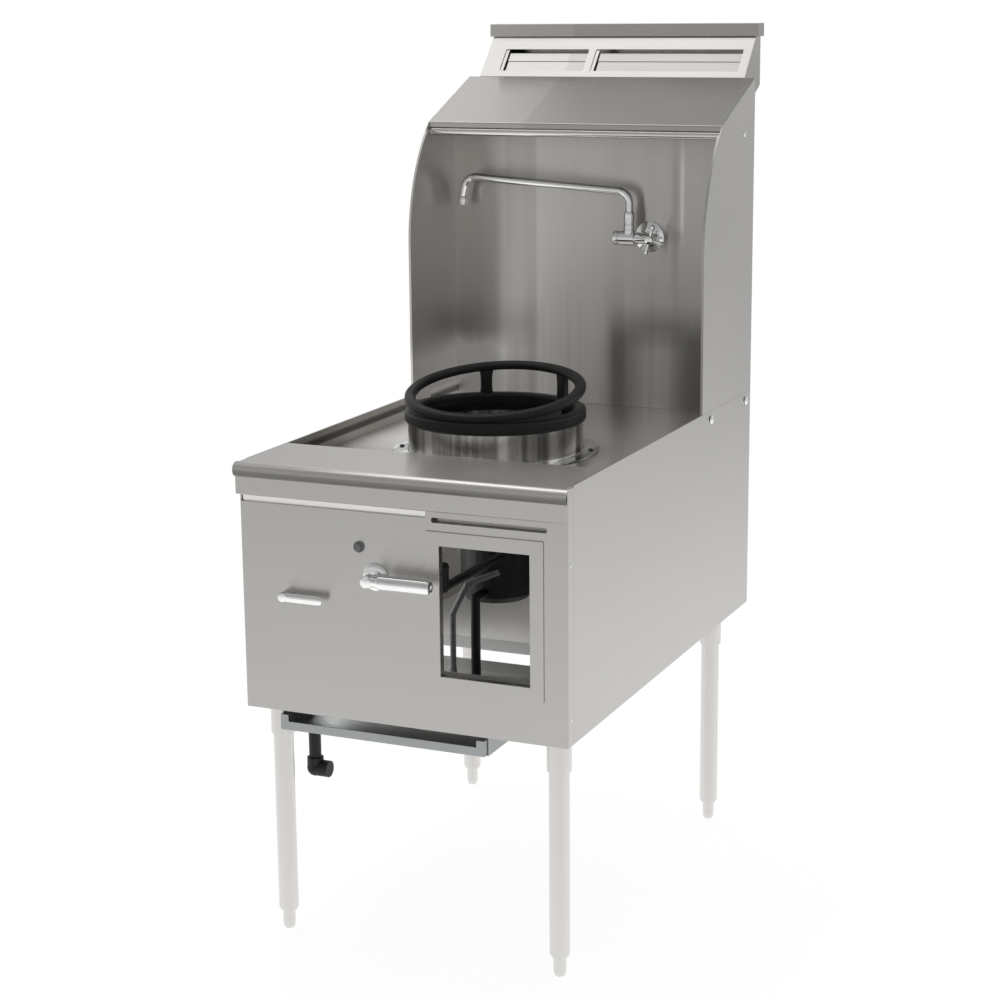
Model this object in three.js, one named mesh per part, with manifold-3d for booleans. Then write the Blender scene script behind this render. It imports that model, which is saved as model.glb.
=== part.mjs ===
// A single-burner wok range on four tube legs: a sheet-steel cabinet with a sunken deck, a chimney
// collar that carries a cast wok ring, a splash hood with a leaning flue, and a swing faucet.
// Units are millimetres. X runs to the right, Y from the front panel to the back, Z up from the floor.

import * as THREE from 'three';
import { mergeVertices } from 'three/addons/utils/BufferGeometryUtils.js';
import Module from 'manifold-3d';

const wasm = await Module();
wasm.setup();

// ---------------------------------------------------------------- driving dimensions

// Gauges and clearances
const sheet = 1.5;                    // cabinet and hood sheet
const plate = 2;                      // rails, chamber and collar
const seat = 0.3;                     // gap between pieces that rest on each other
const slide = 0.5;                    // side play of sliding pieces

// Cabinet
const cabinetWidth = 600;
const cabinetDepth = 965;
const cabinetBottom = 428;            // underside above the floor
const rimHeight = 862;                // top of the ledge and of the side panels
const sideFlange = 30;                // inward bottom flange of a side panel
const frontReturn = 25;               // how far the front panel wraps round the sides

// Deck
const ledgeDepth = 167;               // flat ledge behind the front panel
const recessDepth = 34;               // the sunken floor below the ledge
const noseRadius = 13;
const noseReach = 17;                 // nose in front of the front panel
const noseOverhang = 3;               // nose beyond the cabinet side
const apronHeight = 56;               // top of the ledge to the apron's lower edge
const apronSetback = 8;               // apron face in front of the front panel

// Wok opening
const burnerToSplash = 482;           // burner axis in front of the splash back
const ringOuterRadius = 163;
const ringWidth = 23;
const ringBaseHeight = 22;
const spigotDepth = 12;               // lip of the ring that drops inside the collar
const spigotWall = 5;
const rimWidth = 20;
const rimThickness = 14;
const rimCentreRise = 29;             // centre of the tilted rim above the ring's base
const rimTilt = 8.5;                  // degrees, rear side up
const postWidth = 22;
const postAngles = [60, 120];
const frontWallWidth = 10;
const frontWallAngle = 20;            // the wall under the rim's front ends this far in front of centre
const ringOverhang = 5.5;             // ring beyond the collar
const collarHeight = 55;              // collar above the sunken floor
const collarFlangeWidth = 28.5;
const deckHoleInset = 5.5;            // deck hole inside the collar

// Burner chamber, burner and flue box
const chamberInset = 7.5;             // chamber wall inside the collar's outer face
const chamberDepth = 162;             // rim to where the wall turns into the cone
const coneDepth = 38;
const chamberFlangeWidth = 22;
const burnerRadius = 66;
const burnerHeight = 179;
const burnerTopDrop = 127;            // top of the burner below the rim
const burnerFlangeWidth = 14;
const burnerBore = 20;
const flueBoxHalfWidth = 90;
const flueBoxTopDrop = 47;
const flueBoxHeight = 103;
const exhaustHalfWidth = 70;
const exhaustMargin = 12;             // flue box wall round the chamber's exhaust window

// Bottom members
const frontRailDepth = 96;
const crossBarInset = 153;            // cross bar's front edge in front of the burner axis
const crossBarDepth = 87;
const bottomPlateSetback = 59;        // rear bottom plate behind the burner axis
const railUpstand = 20;

// Splash back and hood
const splashInset = 85;               // splash back in front of the cabinet's back
const hoodFrontInset = 297;           // front edge of the hood sides, from the cabinet's back
const hoodCurveRise = 288;            // rim to where the front edge starts to curve back
const hoodShoulderInset = 199;
const hoodShoulderRise = 524;
const hoodRise = 605;                 // rim to the top rear corner of the hood
const hoodHem = 3;                    // thickness of the folded front edge of a hood side
const canopyFold = 10;                // front edge of the canopy turned down
const lipRadius = 8;
const tabDepth = 50;                  // tabs by which a hood side is bolted to the cabinet
const tabDrop = 30;
const boltRadius = 8.5;
const boltHead = 4.5;
const boltDrop = 17;                  // bolt centre below the top of the side panel
const frontBoltInset = 52;            // bolt behind the hood's front edge
const rearBoltInset = 31;             // bolt in front of the cabinet's back

// Flue riser
const riserSideInset = 22;            // riser's end inside the cabinet's side
const riserReach = 101;               // riser's back behind the cabinet
const riserTopDepth = 30;
const riserRise = 76;                 // top of the riser above the hood
const riserSkirt = 69;                // riser below the top of the hood
const riserHeelDrop = 17;             // back wall ends this far below the top of the hood
const inletSideInset = 16;
const inletBottomMargin = 6;
const inletHeight = 54;
const ventRise = 11;                  // outlet slots above the top of the hood
const ventHeight = 41;
const ventLeftMargin = 38;
const ventRightMargin = 17;
const ventLeftLength = 180;
const ventDivider = 15;
const louvreWidth = 20;
const louvreSetback = 8;
const capEndOverhang = 6;
const capOverhang = 3;
const capHeight = 25;

// Legs
const legInsetX = 38.6;
const legInsetFront = 55;
const legInsetRear = 115;
const legRadius = 17.5;
const legWall = 1.5;
const socketWall = 3.2;
const socketHeight = 60;
const footRadius = 11;
const footVisible = 40;
const footStem = 50;                  // threaded stem inside the leg
const stemRadius = 7;
const footGuideRadius = 15.5;         // threaded insert carried by the leg
const footGuideHeight = 14;

// Drip tray and runners
const traySideInset = 64;             // tray's left edge inside the cabinet's side
const trayWidth = 385;
const trayFront = 3;
const trayDepth = 350;
const trayHeight = 27;
const trayFrontWall = 15;
const trayDrop = 35.2;                // underside of the tray below the cabinet
const runnerShelf = 13;

// Window, vent slot and bent-back edge of the front panel
const windowSideInset = 66;           // window's right edge inside the cabinet's side
const windowWidth = 161;
const windowRise = 97;                // window above the cabinet's underside
const windowTopDrop = 114;            // window below the rim
const frameBorder = 24;
const frameReturn = 12;
const slotSideInset = 36;
const slotWidth = 205;
const slotTopDrop = 67;
const slotHeight = 9;
const stepEndGap = 9;                 // the bent-back top edge ends this far left of the slot
const stepHeight = 13;
const stepDepth = 8;

// Controls
const leverX = -44.5;
const leverDrop = 178;                // lever axis below the rim
const escutcheonRadius = 23.5;
const escutcheonThickness = 5;
const leverHubRadius = 11;
const leverStandoff = 30;             // lever axis in front of the front panel
const leverBarRadius = 13;
const leverReach = 116;
const spindleRadius = 5;
const pilotSideInset = 87;
const pilotDrop = 226;
const pilotHubRadius = 9;
const pilotHubLength = 21;
const pilotReach = 74;
const pilotTabHeight = 17;
const pilotTabThickness = 5;
const buttonX = -74.5;
const buttonDrop = 129;
const buttonRadius = 7;
const buttonProud = 6;
const bezelRadius = 9.5;
const bezelThickness = 2.5;
const igniterDepth = 45;
const buttonTravel = 4;

// Gas pipes
const pipeRadius = 11;
const inletSideGap = 48.5;            // inlet pipe's axis inside the cabinet's side
const inletY = 150;
const elbowDrop = 156;                // axis of the elbow's mouth below the cabinet
const elbowRadius = 15;
const elbowReach = 29;
const elbowSocket = 20;               // collar of the elbow above its corner
const manifoldY = 100;
const valveRadius = 15;
const valveBossRadius = 13;
const valveBossReach = 18;
const valveRear = 118;
const supplyX = 34;
const supplyDrop = 36;                // supply pipe below the lever axis
const supplyRadius = 8;
const riserPipeX = 5;
const riserPipeInset = 108;           // riser pipe in front of the burner axis
const riserPipeDrop = 106;            // riser pipe's elbow below the lever axis
const riserPipeRadius = 8.5;
const pilotTubeRadius = 5.5;
const pilotTubeX = -40;
const pilotFootRadius = 6.5;
const pilotFootHeight = 12;
const pilotValveRadius = 10;
const pilotValveRear = 70;

// Faucet
const faucetSideInset = 182;          // water inlet inside the cabinet's right side
const faucetRise = 303;               // faucet axis above the rim
const faucetFlangeRadius = 30;
const faucetFlangeThickness = 7;
const faucetStandoff = 32;            // valve body in front of the splash back
const faucetBodyReach = 61;           // barrel's left end from the inlet
const faucetBodyRadius = 14.5;
const faucetNeckGap = 16;             // barrel's right end from the inlet
const faucetNeckRadius = 10.5;
const faucetStemRadius = 12;
const handleOffset = 18;              // handle's axis right of the inlet
const handleHubRadius = 9;
const handleHubLength = 12;
const handleArm = 30;
const handleArmRadius = 3.2;
const handleTurn = -15;               // degrees, how the cross stands at rest
const spoutOffset = 30;               // spout's axis left of the inlet
const spoutCollarRadius = 12;
const spoutCollarRise = 52;           // top of the collar above the faucet axis
const spoutRadius = 8;
const spoutBendRadius = 26;
const spoutElbowRise = 89;
const spoutEndGap = 44;               // far bend inside the cabinet's side
const spoutRise = 22;                 // the arm climbs this much towards its end
const spoutDrop = 38;                 // straight drop at the end
const aeratorRadius = 10;
const aeratorHeight = 16;

// ---------------------------------------------------------------- derived positions

const sideOuter = cabinetWidth / 2;
const sideInner = sideOuter - sheet;
const insideHalf = sideInner - seat;
const deckFloor = rimHeight - recessDepth;
const collarTop = deckFloor + seat + collarHeight;
const railTop = cabinetBottom + plate;
const rearPanelFront = cabinetDepth - sheet;
const splashY = cabinetDepth - splashInset;
const burnerY = splashY - burnerToSplash;

const collarRadius = ringOuterRadius - ringOverhang;
const collarFlangeRadius = collarRadius + collarFlangeWidth;
const deckHoleRadius = collarRadius - deckHoleInset;
const ringInnerRadius = ringOuterRadius - ringWidth;
const rimInnerRadius = ringOuterRadius - rimWidth;
const chamberRadius = collarRadius - chamberInset;
const chamberFlangeRadius = chamberRadius + chamberFlangeWidth;
const chamberWaist = rimHeight - chamberDepth;
const chamberFloor = chamberWaist - coneDepth;
const burnerTop = rimHeight - burnerTopDrop;
const burnerBottom = burnerTop - burnerHeight;
const burnerFlangeRadius = burnerRadius + burnerFlangeWidth;
const flueBoxTop = rimHeight - flueBoxTopDrop;
const flueBoxBottom = flueBoxTop - flueBoxHeight;

const crossBarFront = burnerY - crossBarInset;
const crossBarRear = crossBarFront + crossBarDepth;
const bottomPlateFront = burnerY + bottomPlateSetback;

const hoodFront = cabinetDepth - hoodFrontInset;
const hoodCurveStart = rimHeight + hoodCurveRise;
const hoodShoulderY = cabinetDepth - hoodShoulderInset;
const hoodShoulderZ = rimHeight + hoodShoulderRise;
const hoodTop = rimHeight + hoodRise;
const frontBoltY = hoodFront + frontBoltInset;
const rearBoltY = cabinetDepth - rearBoltInset;

const riserHalfWidth = sideOuter - riserSideInset;
const riserBack = cabinetDepth + riserReach;
const riserTopFront = riserBack - riserTopDepth;
const riserTop = hoodTop + riserRise;
const riserBottom = hoodTop - riserSkirt;
const riserHeel = hoodTop - riserHeelDrop;
const inletHalfWidth = riserHalfWidth - inletSideInset;
const inletBottom = riserBottom + inletBottomMargin;
const inletTop = inletBottom + inletHeight;
const ventBottom = hoodTop + ventRise;
const ventTop = ventBottom + ventHeight;
const ventLeft = ventLeftMargin - riserHalfWidth;
const ventDividerLeft = ventLeft + ventLeftLength;
const ventDividerRight = ventDividerLeft + ventDivider;
const ventRight = riserHalfWidth - ventRightMargin;
const capHalfWidth = riserHalfWidth + capEndOverhang;
const capRear = riserBack + capOverhang;

const windowLeft = sideOuter - windowSideInset - windowWidth;
const windowBottom = cabinetBottom + windowRise;
const windowHeight = rimHeight - windowTopDrop - windowBottom;
const slotLeft = sideOuter - slotSideInset - slotWidth;
const slotBottom = rimHeight - slotTopDrop - slotHeight;
const stepRight = slotLeft - stepEndGap;
const stepBottom = rimHeight - apronHeight - stepHeight;

const trayLeft = traySideInset - sideOuter;
const trayFloor = cabinetBottom - trayDrop;

const leverZ = rimHeight - leverDrop;
const pilotX = pilotSideInset - sideOuter;
const pilotZ = rimHeight - pilotDrop;
const buttonZ = rimHeight - buttonDrop;
const inletX = inletSideGap - sideOuter;
const elbowHeight = cabinetBottom - elbowDrop;
const manifoldZ = leverZ;
const supplyZ = leverZ - supplyDrop;
const riserPipeY = burnerY - riserPipeInset;
const riserPipeZ = leverZ - riserPipeDrop;

const faucetX = sideOuter - faucetSideInset;
const faucetZ = rimHeight + faucetRise;
const faucetBodyY = splashY - faucetStandoff;
const faucetBodyLeft = faucetX - faucetBodyReach;
const faucetBodyRight = faucetX - faucetNeckGap;
const handleX = faucetX + handleOffset;
const spoutX = faucetX - spoutOffset;
const spoutCollarTop = faucetZ + spoutCollarRise;
const spoutElbowZ = faucetZ + spoutElbowRise;
const spoutEndX = spoutEndGap - sideOuter;

const leverFront = -(leverStandoff + leverBarRadius);
const midDepth = (capRear + leverFront) / 2;
const degree = Math.PI / 180;

// ---------------------------------------------------------------- solid helpers

// Turns a closed three.js geometry into a solid, with its faces pointing out.
function solid(geometry) {
  const bare = new THREE.BufferGeometry();
  bare.setAttribute('position', geometry.getAttribute('position'));
  bare.setIndex(geometry.index);
  const merged = mergeVertices(bare, 1e-4);
  const position = merged.getAttribute('position');
  const point = (i) => new THREE.Vector3().fromBufferAttribute(position, i);
  const triangles = [];
  let volume = 0;
  for (let i = 0; i < merged.index.count; i += 3) {
    const [a, b, c] = [0, 1, 2].map((k) => merged.index.getX(i + k));
    if (a === b || b === c || c === a) continue;
    triangles.push([a, b, c]);
    volume += point(a).dot(point(b).cross(point(c)));
  }
  const outward = volume > 0 ? triangles : triangles.map(([a, b, c]) => [a, c, b]);
  return new wasm.Manifold(new wasm.Mesh({
    numProp: 3,
    vertProperties: new Float32Array(position.array),
    triVerts: new Uint32Array(outward.flat()),
  }));
}

function join(...bodies) {
  return bodies.reduce((whole, body) => whole.add(body));
}

function cut(body, ...tools) {
  return tools.reduce((rest, tool) => rest.subtract(tool), body);
}

// A box between two limits on each axis.
function block([x0, x1], [y0, y1], [z0, z1]) {
  const box = new THREE.BoxGeometry(x1 - x0, y1 - y0, z1 - z0);
  return solid(box.translate((x0 + x1) / 2, (y0 + y1) / 2, (z0 + z1) / 2));
}

// A round bar, or a cone when the end radius differs.
function bar(from, to, radius, sides = 20, endRadius = radius) {
  const start = new THREE.Vector3(...from);
  const end = new THREE.Vector3(...to);
  const along = end.clone().sub(start);
  const geometry = new THREE.CylinderGeometry(endRadius, radius, along.length(), sides);
  const turn = new THREE.Quaternion();
  turn.setFromUnitVectors(new THREE.Vector3(0, 1, 0), along.clone().normalize());
  geometry.applyQuaternion(turn);
  const middle = start.add(end).multiplyScalar(0.5);
  return solid(geometry.translate(middle.x, middle.y, middle.z));
}

function ball([x, y, z], radius, detail = 16) {
  return solid(new THREE.SphereGeometry(radius, detail, detail / 2).translate(x, y, z));
}

// Straight pipes between points, with a round elbow at each inner point.
function pipeRun(points, radius, sides = 16) {
  const runs = points.slice(1).map((point, i) => bar(points[i], point, radius, sides));
  const elbows = points.slice(1, -1).map((point) => ball(point, radius * 1.12));
  return join(...runs, ...elbows);
}

// A profile of [radius, height] points turned about the Z axis.
function lathe(profile, segments = 32) {
  const closed = [...profile, profile[0]].map(([r, z]) => new THREE.Vector2(r, z));
  return new THREE.LatheGeometry(closed, segments).rotateX(Math.PI / 2);
}

function turned(profile, segments) {
  return solid(lathe(profile, segments));
}

function outlineShape(points) {
  return new THREE.Shape(points.map(([a, b]) => new THREE.Vector2(a, b)));
}

// An outline of [y, z] points, drawn along X from x0 to x1.
function extrudedX(points, x0, x1) {
  const settings = { depth: x1 - x0, bevelEnabled: false };
  const geometry = new THREE.ExtrudeGeometry(outlineShape(points), settings);
  const turn = new THREE.Matrix4().makeBasis(
    new THREE.Vector3(0, 1, 0),
    new THREE.Vector3(0, 0, 1),
    new THREE.Vector3(1, 0, 0),
  );
  return solid(geometry.applyMatrix4(turn).translate(x0, 0, 0));
}

// Points on an arc about a centre, angles in degrees.
function arc([a, b], radius, from, to, steps) {
  return Array.from({ length: steps + 1 }, (_, i) => {
    const angle = (from + ((to - from) * i) / steps) * degree;
    return [a + radius * Math.cos(angle), b + radius * Math.sin(angle)];
  });
}

// The outline of a folded sheet: the path and the same path moved by the gauge to its right side.
function foldedSheet(path, gauge) {
  const points = path.map(([a, b]) => new THREE.Vector2(a, b));
  const normals = points.slice(1).map((point, i) => {
    const along = point.clone().sub(points[i]).normalize();
    return new THREE.Vector2(along.y, -along.x);
  });
  const moved = points.map((point, i) => {
    const before = normals[Math.max(i - 1, 0)];
    const after = normals[Math.min(i, normals.length - 1)];
    const middle = before.clone().add(after).normalize();
    return point.clone().addScaledVector(middle, gauge / middle.dot(after));
  });
  return [...path, ...moved.reverse().map(({ x, y }) => [x, y])];
}

// ---------------------------------------------------------------- scene graph

const stainless = { color: 0xb4b2ae, roughness: 0.38, metalness: 0.95 };
const polished = { color: 0xc8c8c8, roughness: 0.12, metalness: 1 };
const castIron = { color: 0x2c2c2c, roughness: 0.62, metalness: 0.5 };
const galvanised = { color: 0x98a2a4, roughness: 0.5, metalness: 0.8 };
const blackPipe = { color: 0x2f2f30, roughness: 0.55, metalness: 0.5 };
const legSteel = { color: 0xd0ccc8, roughness: 0.4, metalness: 0.9 };
const brass = { color: 0xa08a52, roughness: 0.35, metalness: 0.95 };
const greyPlastic = { color: 0x5c5b5b, roughness: 0.5, metalness: 0.05 };

const range = new THREE.Group();
range.position.set(0, -midDepth, 0);

// Adds one named mesh, at a position in the range's own frame.
function add(name, body, finish, position = [0, 0, 0]) {
  const { vertProperties, triVerts } = body.getMesh();
  const geometry = new THREE.BufferGeometry();
  geometry.setAttribute('position', new THREE.BufferAttribute(new Float32Array(vertProperties), 3));
  geometry.setIndex(new THREE.BufferAttribute(new Uint32Array(triVerts), 1));
  geometry.computeVertexNormals();
  const mesh = new THREE.Mesh(geometry, new THREE.MeshStandardMaterial(finish));
  mesh.name = name;
  mesh.position.set(...position);
  range.add(mesh);
}

const sides = [['left', -1], ['right', 1]];

// Limits between two signed X values, in rising order.
const span = (a, b) => [Math.min(a, b), Math.max(a, b)];

// ---------------------------------------------------------------- cabinet

function sidePanel(sign) {
  const skin = block(
    span(sign * sideInner, sign * sideOuter),
    [frontReturn + seat, cabinetDepth],
    [cabinetBottom, rimHeight],
  );
  const flangeBottom = railTop + seat;
  const flange = block(
    span(sign * (sideInner - sideFlange), sign * (sideInner + sheet / 2)),
    [frontReturn + seat, rearPanelFront - seat],
    [flangeBottom, flangeBottom + sheet],
  );
  return join(skin, flange);
}

// The panel is one sheet folded round both sides; the left part of its top edge is bent back.
function frontPanel() {
  const top = rimHeight - sheet - seat;
  const stepTop = stepBottom + stepHeight;
  const outer = block([-sideOuter, sideOuter], [0, frontReturn], [cabinetBottom, rimHeight]);
  const inside = extrudedX([
    [sheet, cabinetBottom - 1],
    [frontReturn + 1, cabinetBottom - 1],
    [frontReturn + 1, rimHeight + 1],
    [-1, rimHeight + 1],
    [-1, top],
    [sheet, top],
  ], -sideInner, sideInner);
  const notch = block([-sideInner, stepRight - sheet], [-1, 2 * sheet], [stepBottom, top + 1]);
  const strip = extrudedX([
    [sheet / 4, stepBottom - stepHeight],
    [0, stepBottom],
    [stepDepth, stepTop],
    [stepDepth, top],
    [stepDepth + sheet, top],
    [stepDepth + sheet, stepTop],
    [sheet, stepBottom],
    [sheet / 2, stepBottom - stepHeight],
  ], -(sideOuter - sheet / 2), stepRight);
  const cheek = block(
    [stepRight - sheet / 2, stepRight - sheet / 4],
    [sheet / 2, stepDepth + sheet / 2],
    [stepBottom, top - sheet],
  );
  const through = [-1, stepDepth + 1];
  const gap = slide;
  const window = block(
    [windowLeft - sheet - gap, windowLeft + windowWidth + sheet + gap],
    through,
    [windowBottom - sheet - gap, windowBottom + windowHeight + sheet + gap],
  );
  const slot = block([slotLeft, slotLeft + slotWidth], through, [slotBottom, slotBottom + slotHeight]);
  const hole = (x, z, radius) => bar([x, -1, z], [x, stepDepth + 1, z], radius + slide);
  return cut(
    join(cut(outer, inside, notch), strip, cheek),
    window,
    slot,
    hole(leverX, leverZ, spindleRadius),
    hole(pilotX, pilotZ, spindleRadius),
    hole(buttonX, buttonZ, buttonRadius + sheet),
  );
}

function windowFrame() {
  const right = windowLeft + windowWidth;
  const top = windowBottom + windowHeight;
  const face = block(
    [windowLeft - frameBorder, right + frameBorder],
    [-(plate + seat), -seat],
    [windowBottom - frameBorder, top + frameBorder],
  );
  const sleeve = block(
    [windowLeft - sheet, right + sheet],
    [-plate, frameReturn],
    [windowBottom - sheet, top + sheet],
  );
  const opening = block([windowLeft, right], [-(plate + 1), frameReturn + 1], [windowBottom, top]);
  return cut(join(face, sleeve), opening);
}

for (const [side, sign] of sides) add(`${side}_side_panel`, sidePanel(sign), stainless);
add('front_panel', frontPanel(), stainless);
add('window_frame', windowFrame(), stainless);
add(
  'cabinet_rear_panel',
  block([-insideHalf, insideHalf], [rearPanelFront, cabinetDepth], [railTop + seat, rimHeight - seat]),
  stainless,
);

// A bottom member with upstands along its long edges.
function bottomMember(front, rear, upstands) {
  const floor = block([-insideHalf, insideHalf], [front, rear], [cabinetBottom, railTop]);
  const clear = sideFlange + slide;
  const walls = upstands.map((y) => block(
    [-(insideHalf - clear), insideHalf - clear],
    [y, y + plate],
    [cabinetBottom, railTop + railUpstand],
  ));
  return join(floor, ...walls);
}

const railFront = sheet + seat;
const frontRailRear = railFront + frontRailDepth;
add('front_rail', bottomMember(railFront, frontRailRear, [frontRailRear - plate]), stainless);
const crossBarUpstands = [crossBarFront, crossBarRear - plate];
add('burner_cross_bar', bottomMember(crossBarFront, crossBarRear, crossBarUpstands), stainless);
const bottomPlateRear = rearPanelFront - seat;
add('rear_bottom_plate', bottomMember(bottomPlateFront, bottomPlateRear, [bottomPlateFront]), stainless);

// ---------------------------------------------------------------- deck and wok opening

function cooktopDeck() {
  const noseCentreY = noseRadius - noseReach;
  const noseCentreZ = rimHeight - noseRadius;
  const apronAngle = 360 - Math.acos((-apronSetback - noseCentreY) / noseRadius) / degree;
  const apronBottom = rimHeight - apronHeight;
  const nosePath = [
    [-(seat + sheet), apronBottom],
    [-apronSetback, apronBottom],
    ...arc([noseCentreY, noseCentreZ], noseRadius, apronAngle, 90, 10),
    [-seat, rimHeight],
  ];
  const noseHalf = sideOuter + noseOverhang;
  const nose = extrudedX(foldedSheet(nosePath, sheet), -noseHalf, noseHalf);
  const width = [-insideHalf, insideHalf];
  const ledge = block(width, [noseCentreY, ledgeDepth], [rimHeight - sheet, rimHeight]);
  const floorBottom = deckFloor - sheet;
  const step = block(width, [ledgeDepth - sheet, ledgeDepth], [floorBottom, rimHeight]);
  const floorRear = splashY + sheet + seat;
  const floor = block(width, [ledgeDepth - sheet, floorRear + sheet], [floorBottom, deckFloor]);
  const upturn = block(width, [floorRear, floorRear + sheet], [floorBottom, rimHeight]);
  const walls = sides.map(([, sign]) => block(
    span(sign * (insideHalf - sheet), sign * insideHalf),
    [ledgeDepth - sheet, floorRear + sheet],
    [floorBottom, rimHeight],
  ));
  const hole = bar([0, burnerY, floorBottom - 1], [0, burnerY, deckFloor + 1], deckHoleRadius, 48);
  return cut(join(nose, ledge, step, floor, upturn, ...walls), hole);
}

function chimneyCollar() {
  const base = deckFloor + seat;
  const bore = collarRadius - plate;
  return turned([
    [bore, base],
    [collarFlangeRadius, base],
    [collarFlangeRadius, base + plate],
    [collarRadius, base + plate],
    [collarRadius, collarTop],
    [bore, collarTop],
  ], 48);
}

// The wall that closes the gap between base and rim at the front, up to the middle of the rim.
function ringFrontWall(middle, baseTop, rimCentre) {
  const inner = middle - frontWallWidth / 2;
  const outer = middle + frontWallWidth / 2;
  const tube = turned([
    [inner, baseTop - ringBaseHeight / 2],
    [outer, baseTop - ringBaseHeight / 2],
    [outer, rimCentre],
    [inner, rimCentre],
  ], 48);
  const reach = 3 * ringOuterRadius;
  const above = new THREE.BoxGeometry(reach, reach, reach).translate(0, 0, reach / 2);
  const end = -middle * Math.sin(frontWallAngle * degree);
  return cut(
    tube,
    solid(above.rotateX(rimTilt * degree).translate(0, 0, rimCentre)),
    block([-reach, reach], [end, reach], [0, rimCentre + reach]),
  );
}

function wokRing() {
  const bottom = collarTop + seat;
  const spigotOuter = collarRadius - plate - slide;
  const base = turned([
    [spigotOuter - spigotWall, bottom - spigotDepth],
    [spigotOuter, bottom - spigotDepth],
    [spigotOuter, bottom],
    [ringOuterRadius - 2, bottom],
    [ringOuterRadius, bottom + 4],
    [ringOuterRadius, bottom + ringBaseHeight - 5],
    [ringOuterRadius - 5, bottom + ringBaseHeight],
    [ringInnerRadius + 5, bottom + ringBaseHeight],
    [ringInnerRadius, bottom + ringBaseHeight - 5],
    [ringInnerRadius, bottom + 4],
    [ringInnerRadius + 3, bottom],
    [spigotOuter - spigotWall, bottom],
  ], 48);
  const half = rimThickness / 2;
  const baseTop = bottom + ringBaseHeight;
  const rimCentre = baseTop + rimCentreRise;
  const rim = solid(lathe([
    [ringOuterRadius, -half + 4],
    [ringOuterRadius, half - 4],
    [ringOuterRadius - 4, half],
    [rimInnerRadius + 4, half],
    [rimInnerRadius, half - 4],
    [rimInnerRadius, -half + 4],
    [rimInnerRadius + 4, -half],
    [ringOuterRadius - 4, -half],
  ], 48).rotateX(rimTilt * degree).translate(0, 0, rimCentre));
  const middle = ringOuterRadius - rimWidth / 2;
  const posts = postAngles.map((angle) => {
    const rise = middle * Math.sin(angle * degree) * Math.sin(rimTilt * degree);
    const height = rimCentre + rise - baseTop + ringBaseHeight / 2;
    const post = new THREE.BoxGeometry(rimWidth - 6, postWidth, height);
    post.translate(middle, 0, height / 2 + baseTop - ringBaseHeight / 2);
    return solid(post.rotateZ(angle * degree));
  });
  return join(base, rim, ringFrontWall(middle, baseTop, rimCentre), ...posts);
}

add('cooktop_deck', cooktopDeck(), stainless);
add('chimney_collar', chimneyCollar(), polished, [0, burnerY, 0]);
add('wok_ring', wokRing(), castIron, [0, burnerY, 0]);

// ---------------------------------------------------------------- chamber, burner and flue box

const chamberMouth = burnerRadius + slide;
const chamberBore = chamberRadius - plate;
// Height of the chamber's sloping floor at a given radius.
const coneAt = (radius) => chamberFloor + plate
  + ((radius - chamberMouth) * (chamberWaist - chamberFloor)) / (chamberBore - chamberMouth);

function burnerChamber() {
  const top = deckFloor - sheet - seat;
  const shell = turned([
    [chamberMouth, chamberFloor],
    [chamberRadius, chamberWaist],
    [chamberRadius, top - plate],
    [chamberFlangeRadius, top - plate],
    [chamberFlangeRadius, top],
    [chamberBore, top],
    [chamberBore, chamberWaist + plate],
    [chamberMouth, chamberFloor + plate],
  ], 48);
  const exhaust = block(
    [-exhaustHalfWidth, exhaustHalfWidth],
    [0, chamberRadius + plate],
    [flueBoxBottom + exhaustMargin, flueBoxTop - exhaustMargin],
  );
  return cut(shell, exhaust);
}

function burnerCasting() {
  const flangeBottom = coneAt(burnerFlangeRadius) + seat;
  const flangeTop = flangeBottom + 8;
  return turned([
    [0, burnerBottom],
    [burnerRadius - 8, burnerBottom],
    [burnerRadius, burnerBottom + 10],
    [burnerRadius, flangeBottom],
    [burnerFlangeRadius, flangeBottom],
    [burnerFlangeRadius, flangeTop],
    [burnerRadius, flangeTop],
    [burnerRadius - 4, burnerTop - 12],
    [burnerRadius - 14, burnerTop],
    [burnerBore, burnerTop],
    [burnerBore, flangeTop],
    [0, flangeTop],
  ], 32);
}

function flueBox() {
  const rear = rearPanelFront - seat;
  const front = burnerY;
  const outer = block([-flueBoxHalfWidth, flueBoxHalfWidth], [front, rear], [flueBoxBottom, flueBoxTop]);
  const inner = block(
    [-(flueBoxHalfWidth - sheet), flueBoxHalfWidth - sheet],
    [front - 1, rear - sheet],
    [flueBoxBottom + sheet, flueBoxTop - sheet],
  );
  const outletFront = splashY + 2 * (sheet + seat) + sheet;
  const outlet = block(
    [-(flueBoxHalfWidth - sheet), flueBoxHalfWidth - sheet],
    [outletFront, rear - sheet],
    [flueBoxTop - 2 * sheet, flueBoxTop + 1],
  );
  const chamber = bar(
    [0, burnerY, flueBoxBottom - 1],
    [0, burnerY, flueBoxTop + 1],
    chamberRadius + seat,
    48,
  );
  return cut(outer, inner, outlet, chamber);
}

add('burner_chamber', burnerChamber(), stainless, [0, burnerY, 0]);
add('burner_casting', burnerCasting(), castIron, [0, burnerY, 0]);
add('flue_box', flueBox(), stainless);

// ---------------------------------------------------------------- splash back and hood

const canopySlope = (hoodTop - hoodShoulderZ) / (cabinetDepth - hoodShoulderY);
const canopyTopAt = (y) => hoodShoulderZ + (y - hoodShoulderY) * canopySlope;
const canopyUnderAt = (y) => canopyTopAt(y) - sheet * Math.hypot(1, canopySlope);

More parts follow.
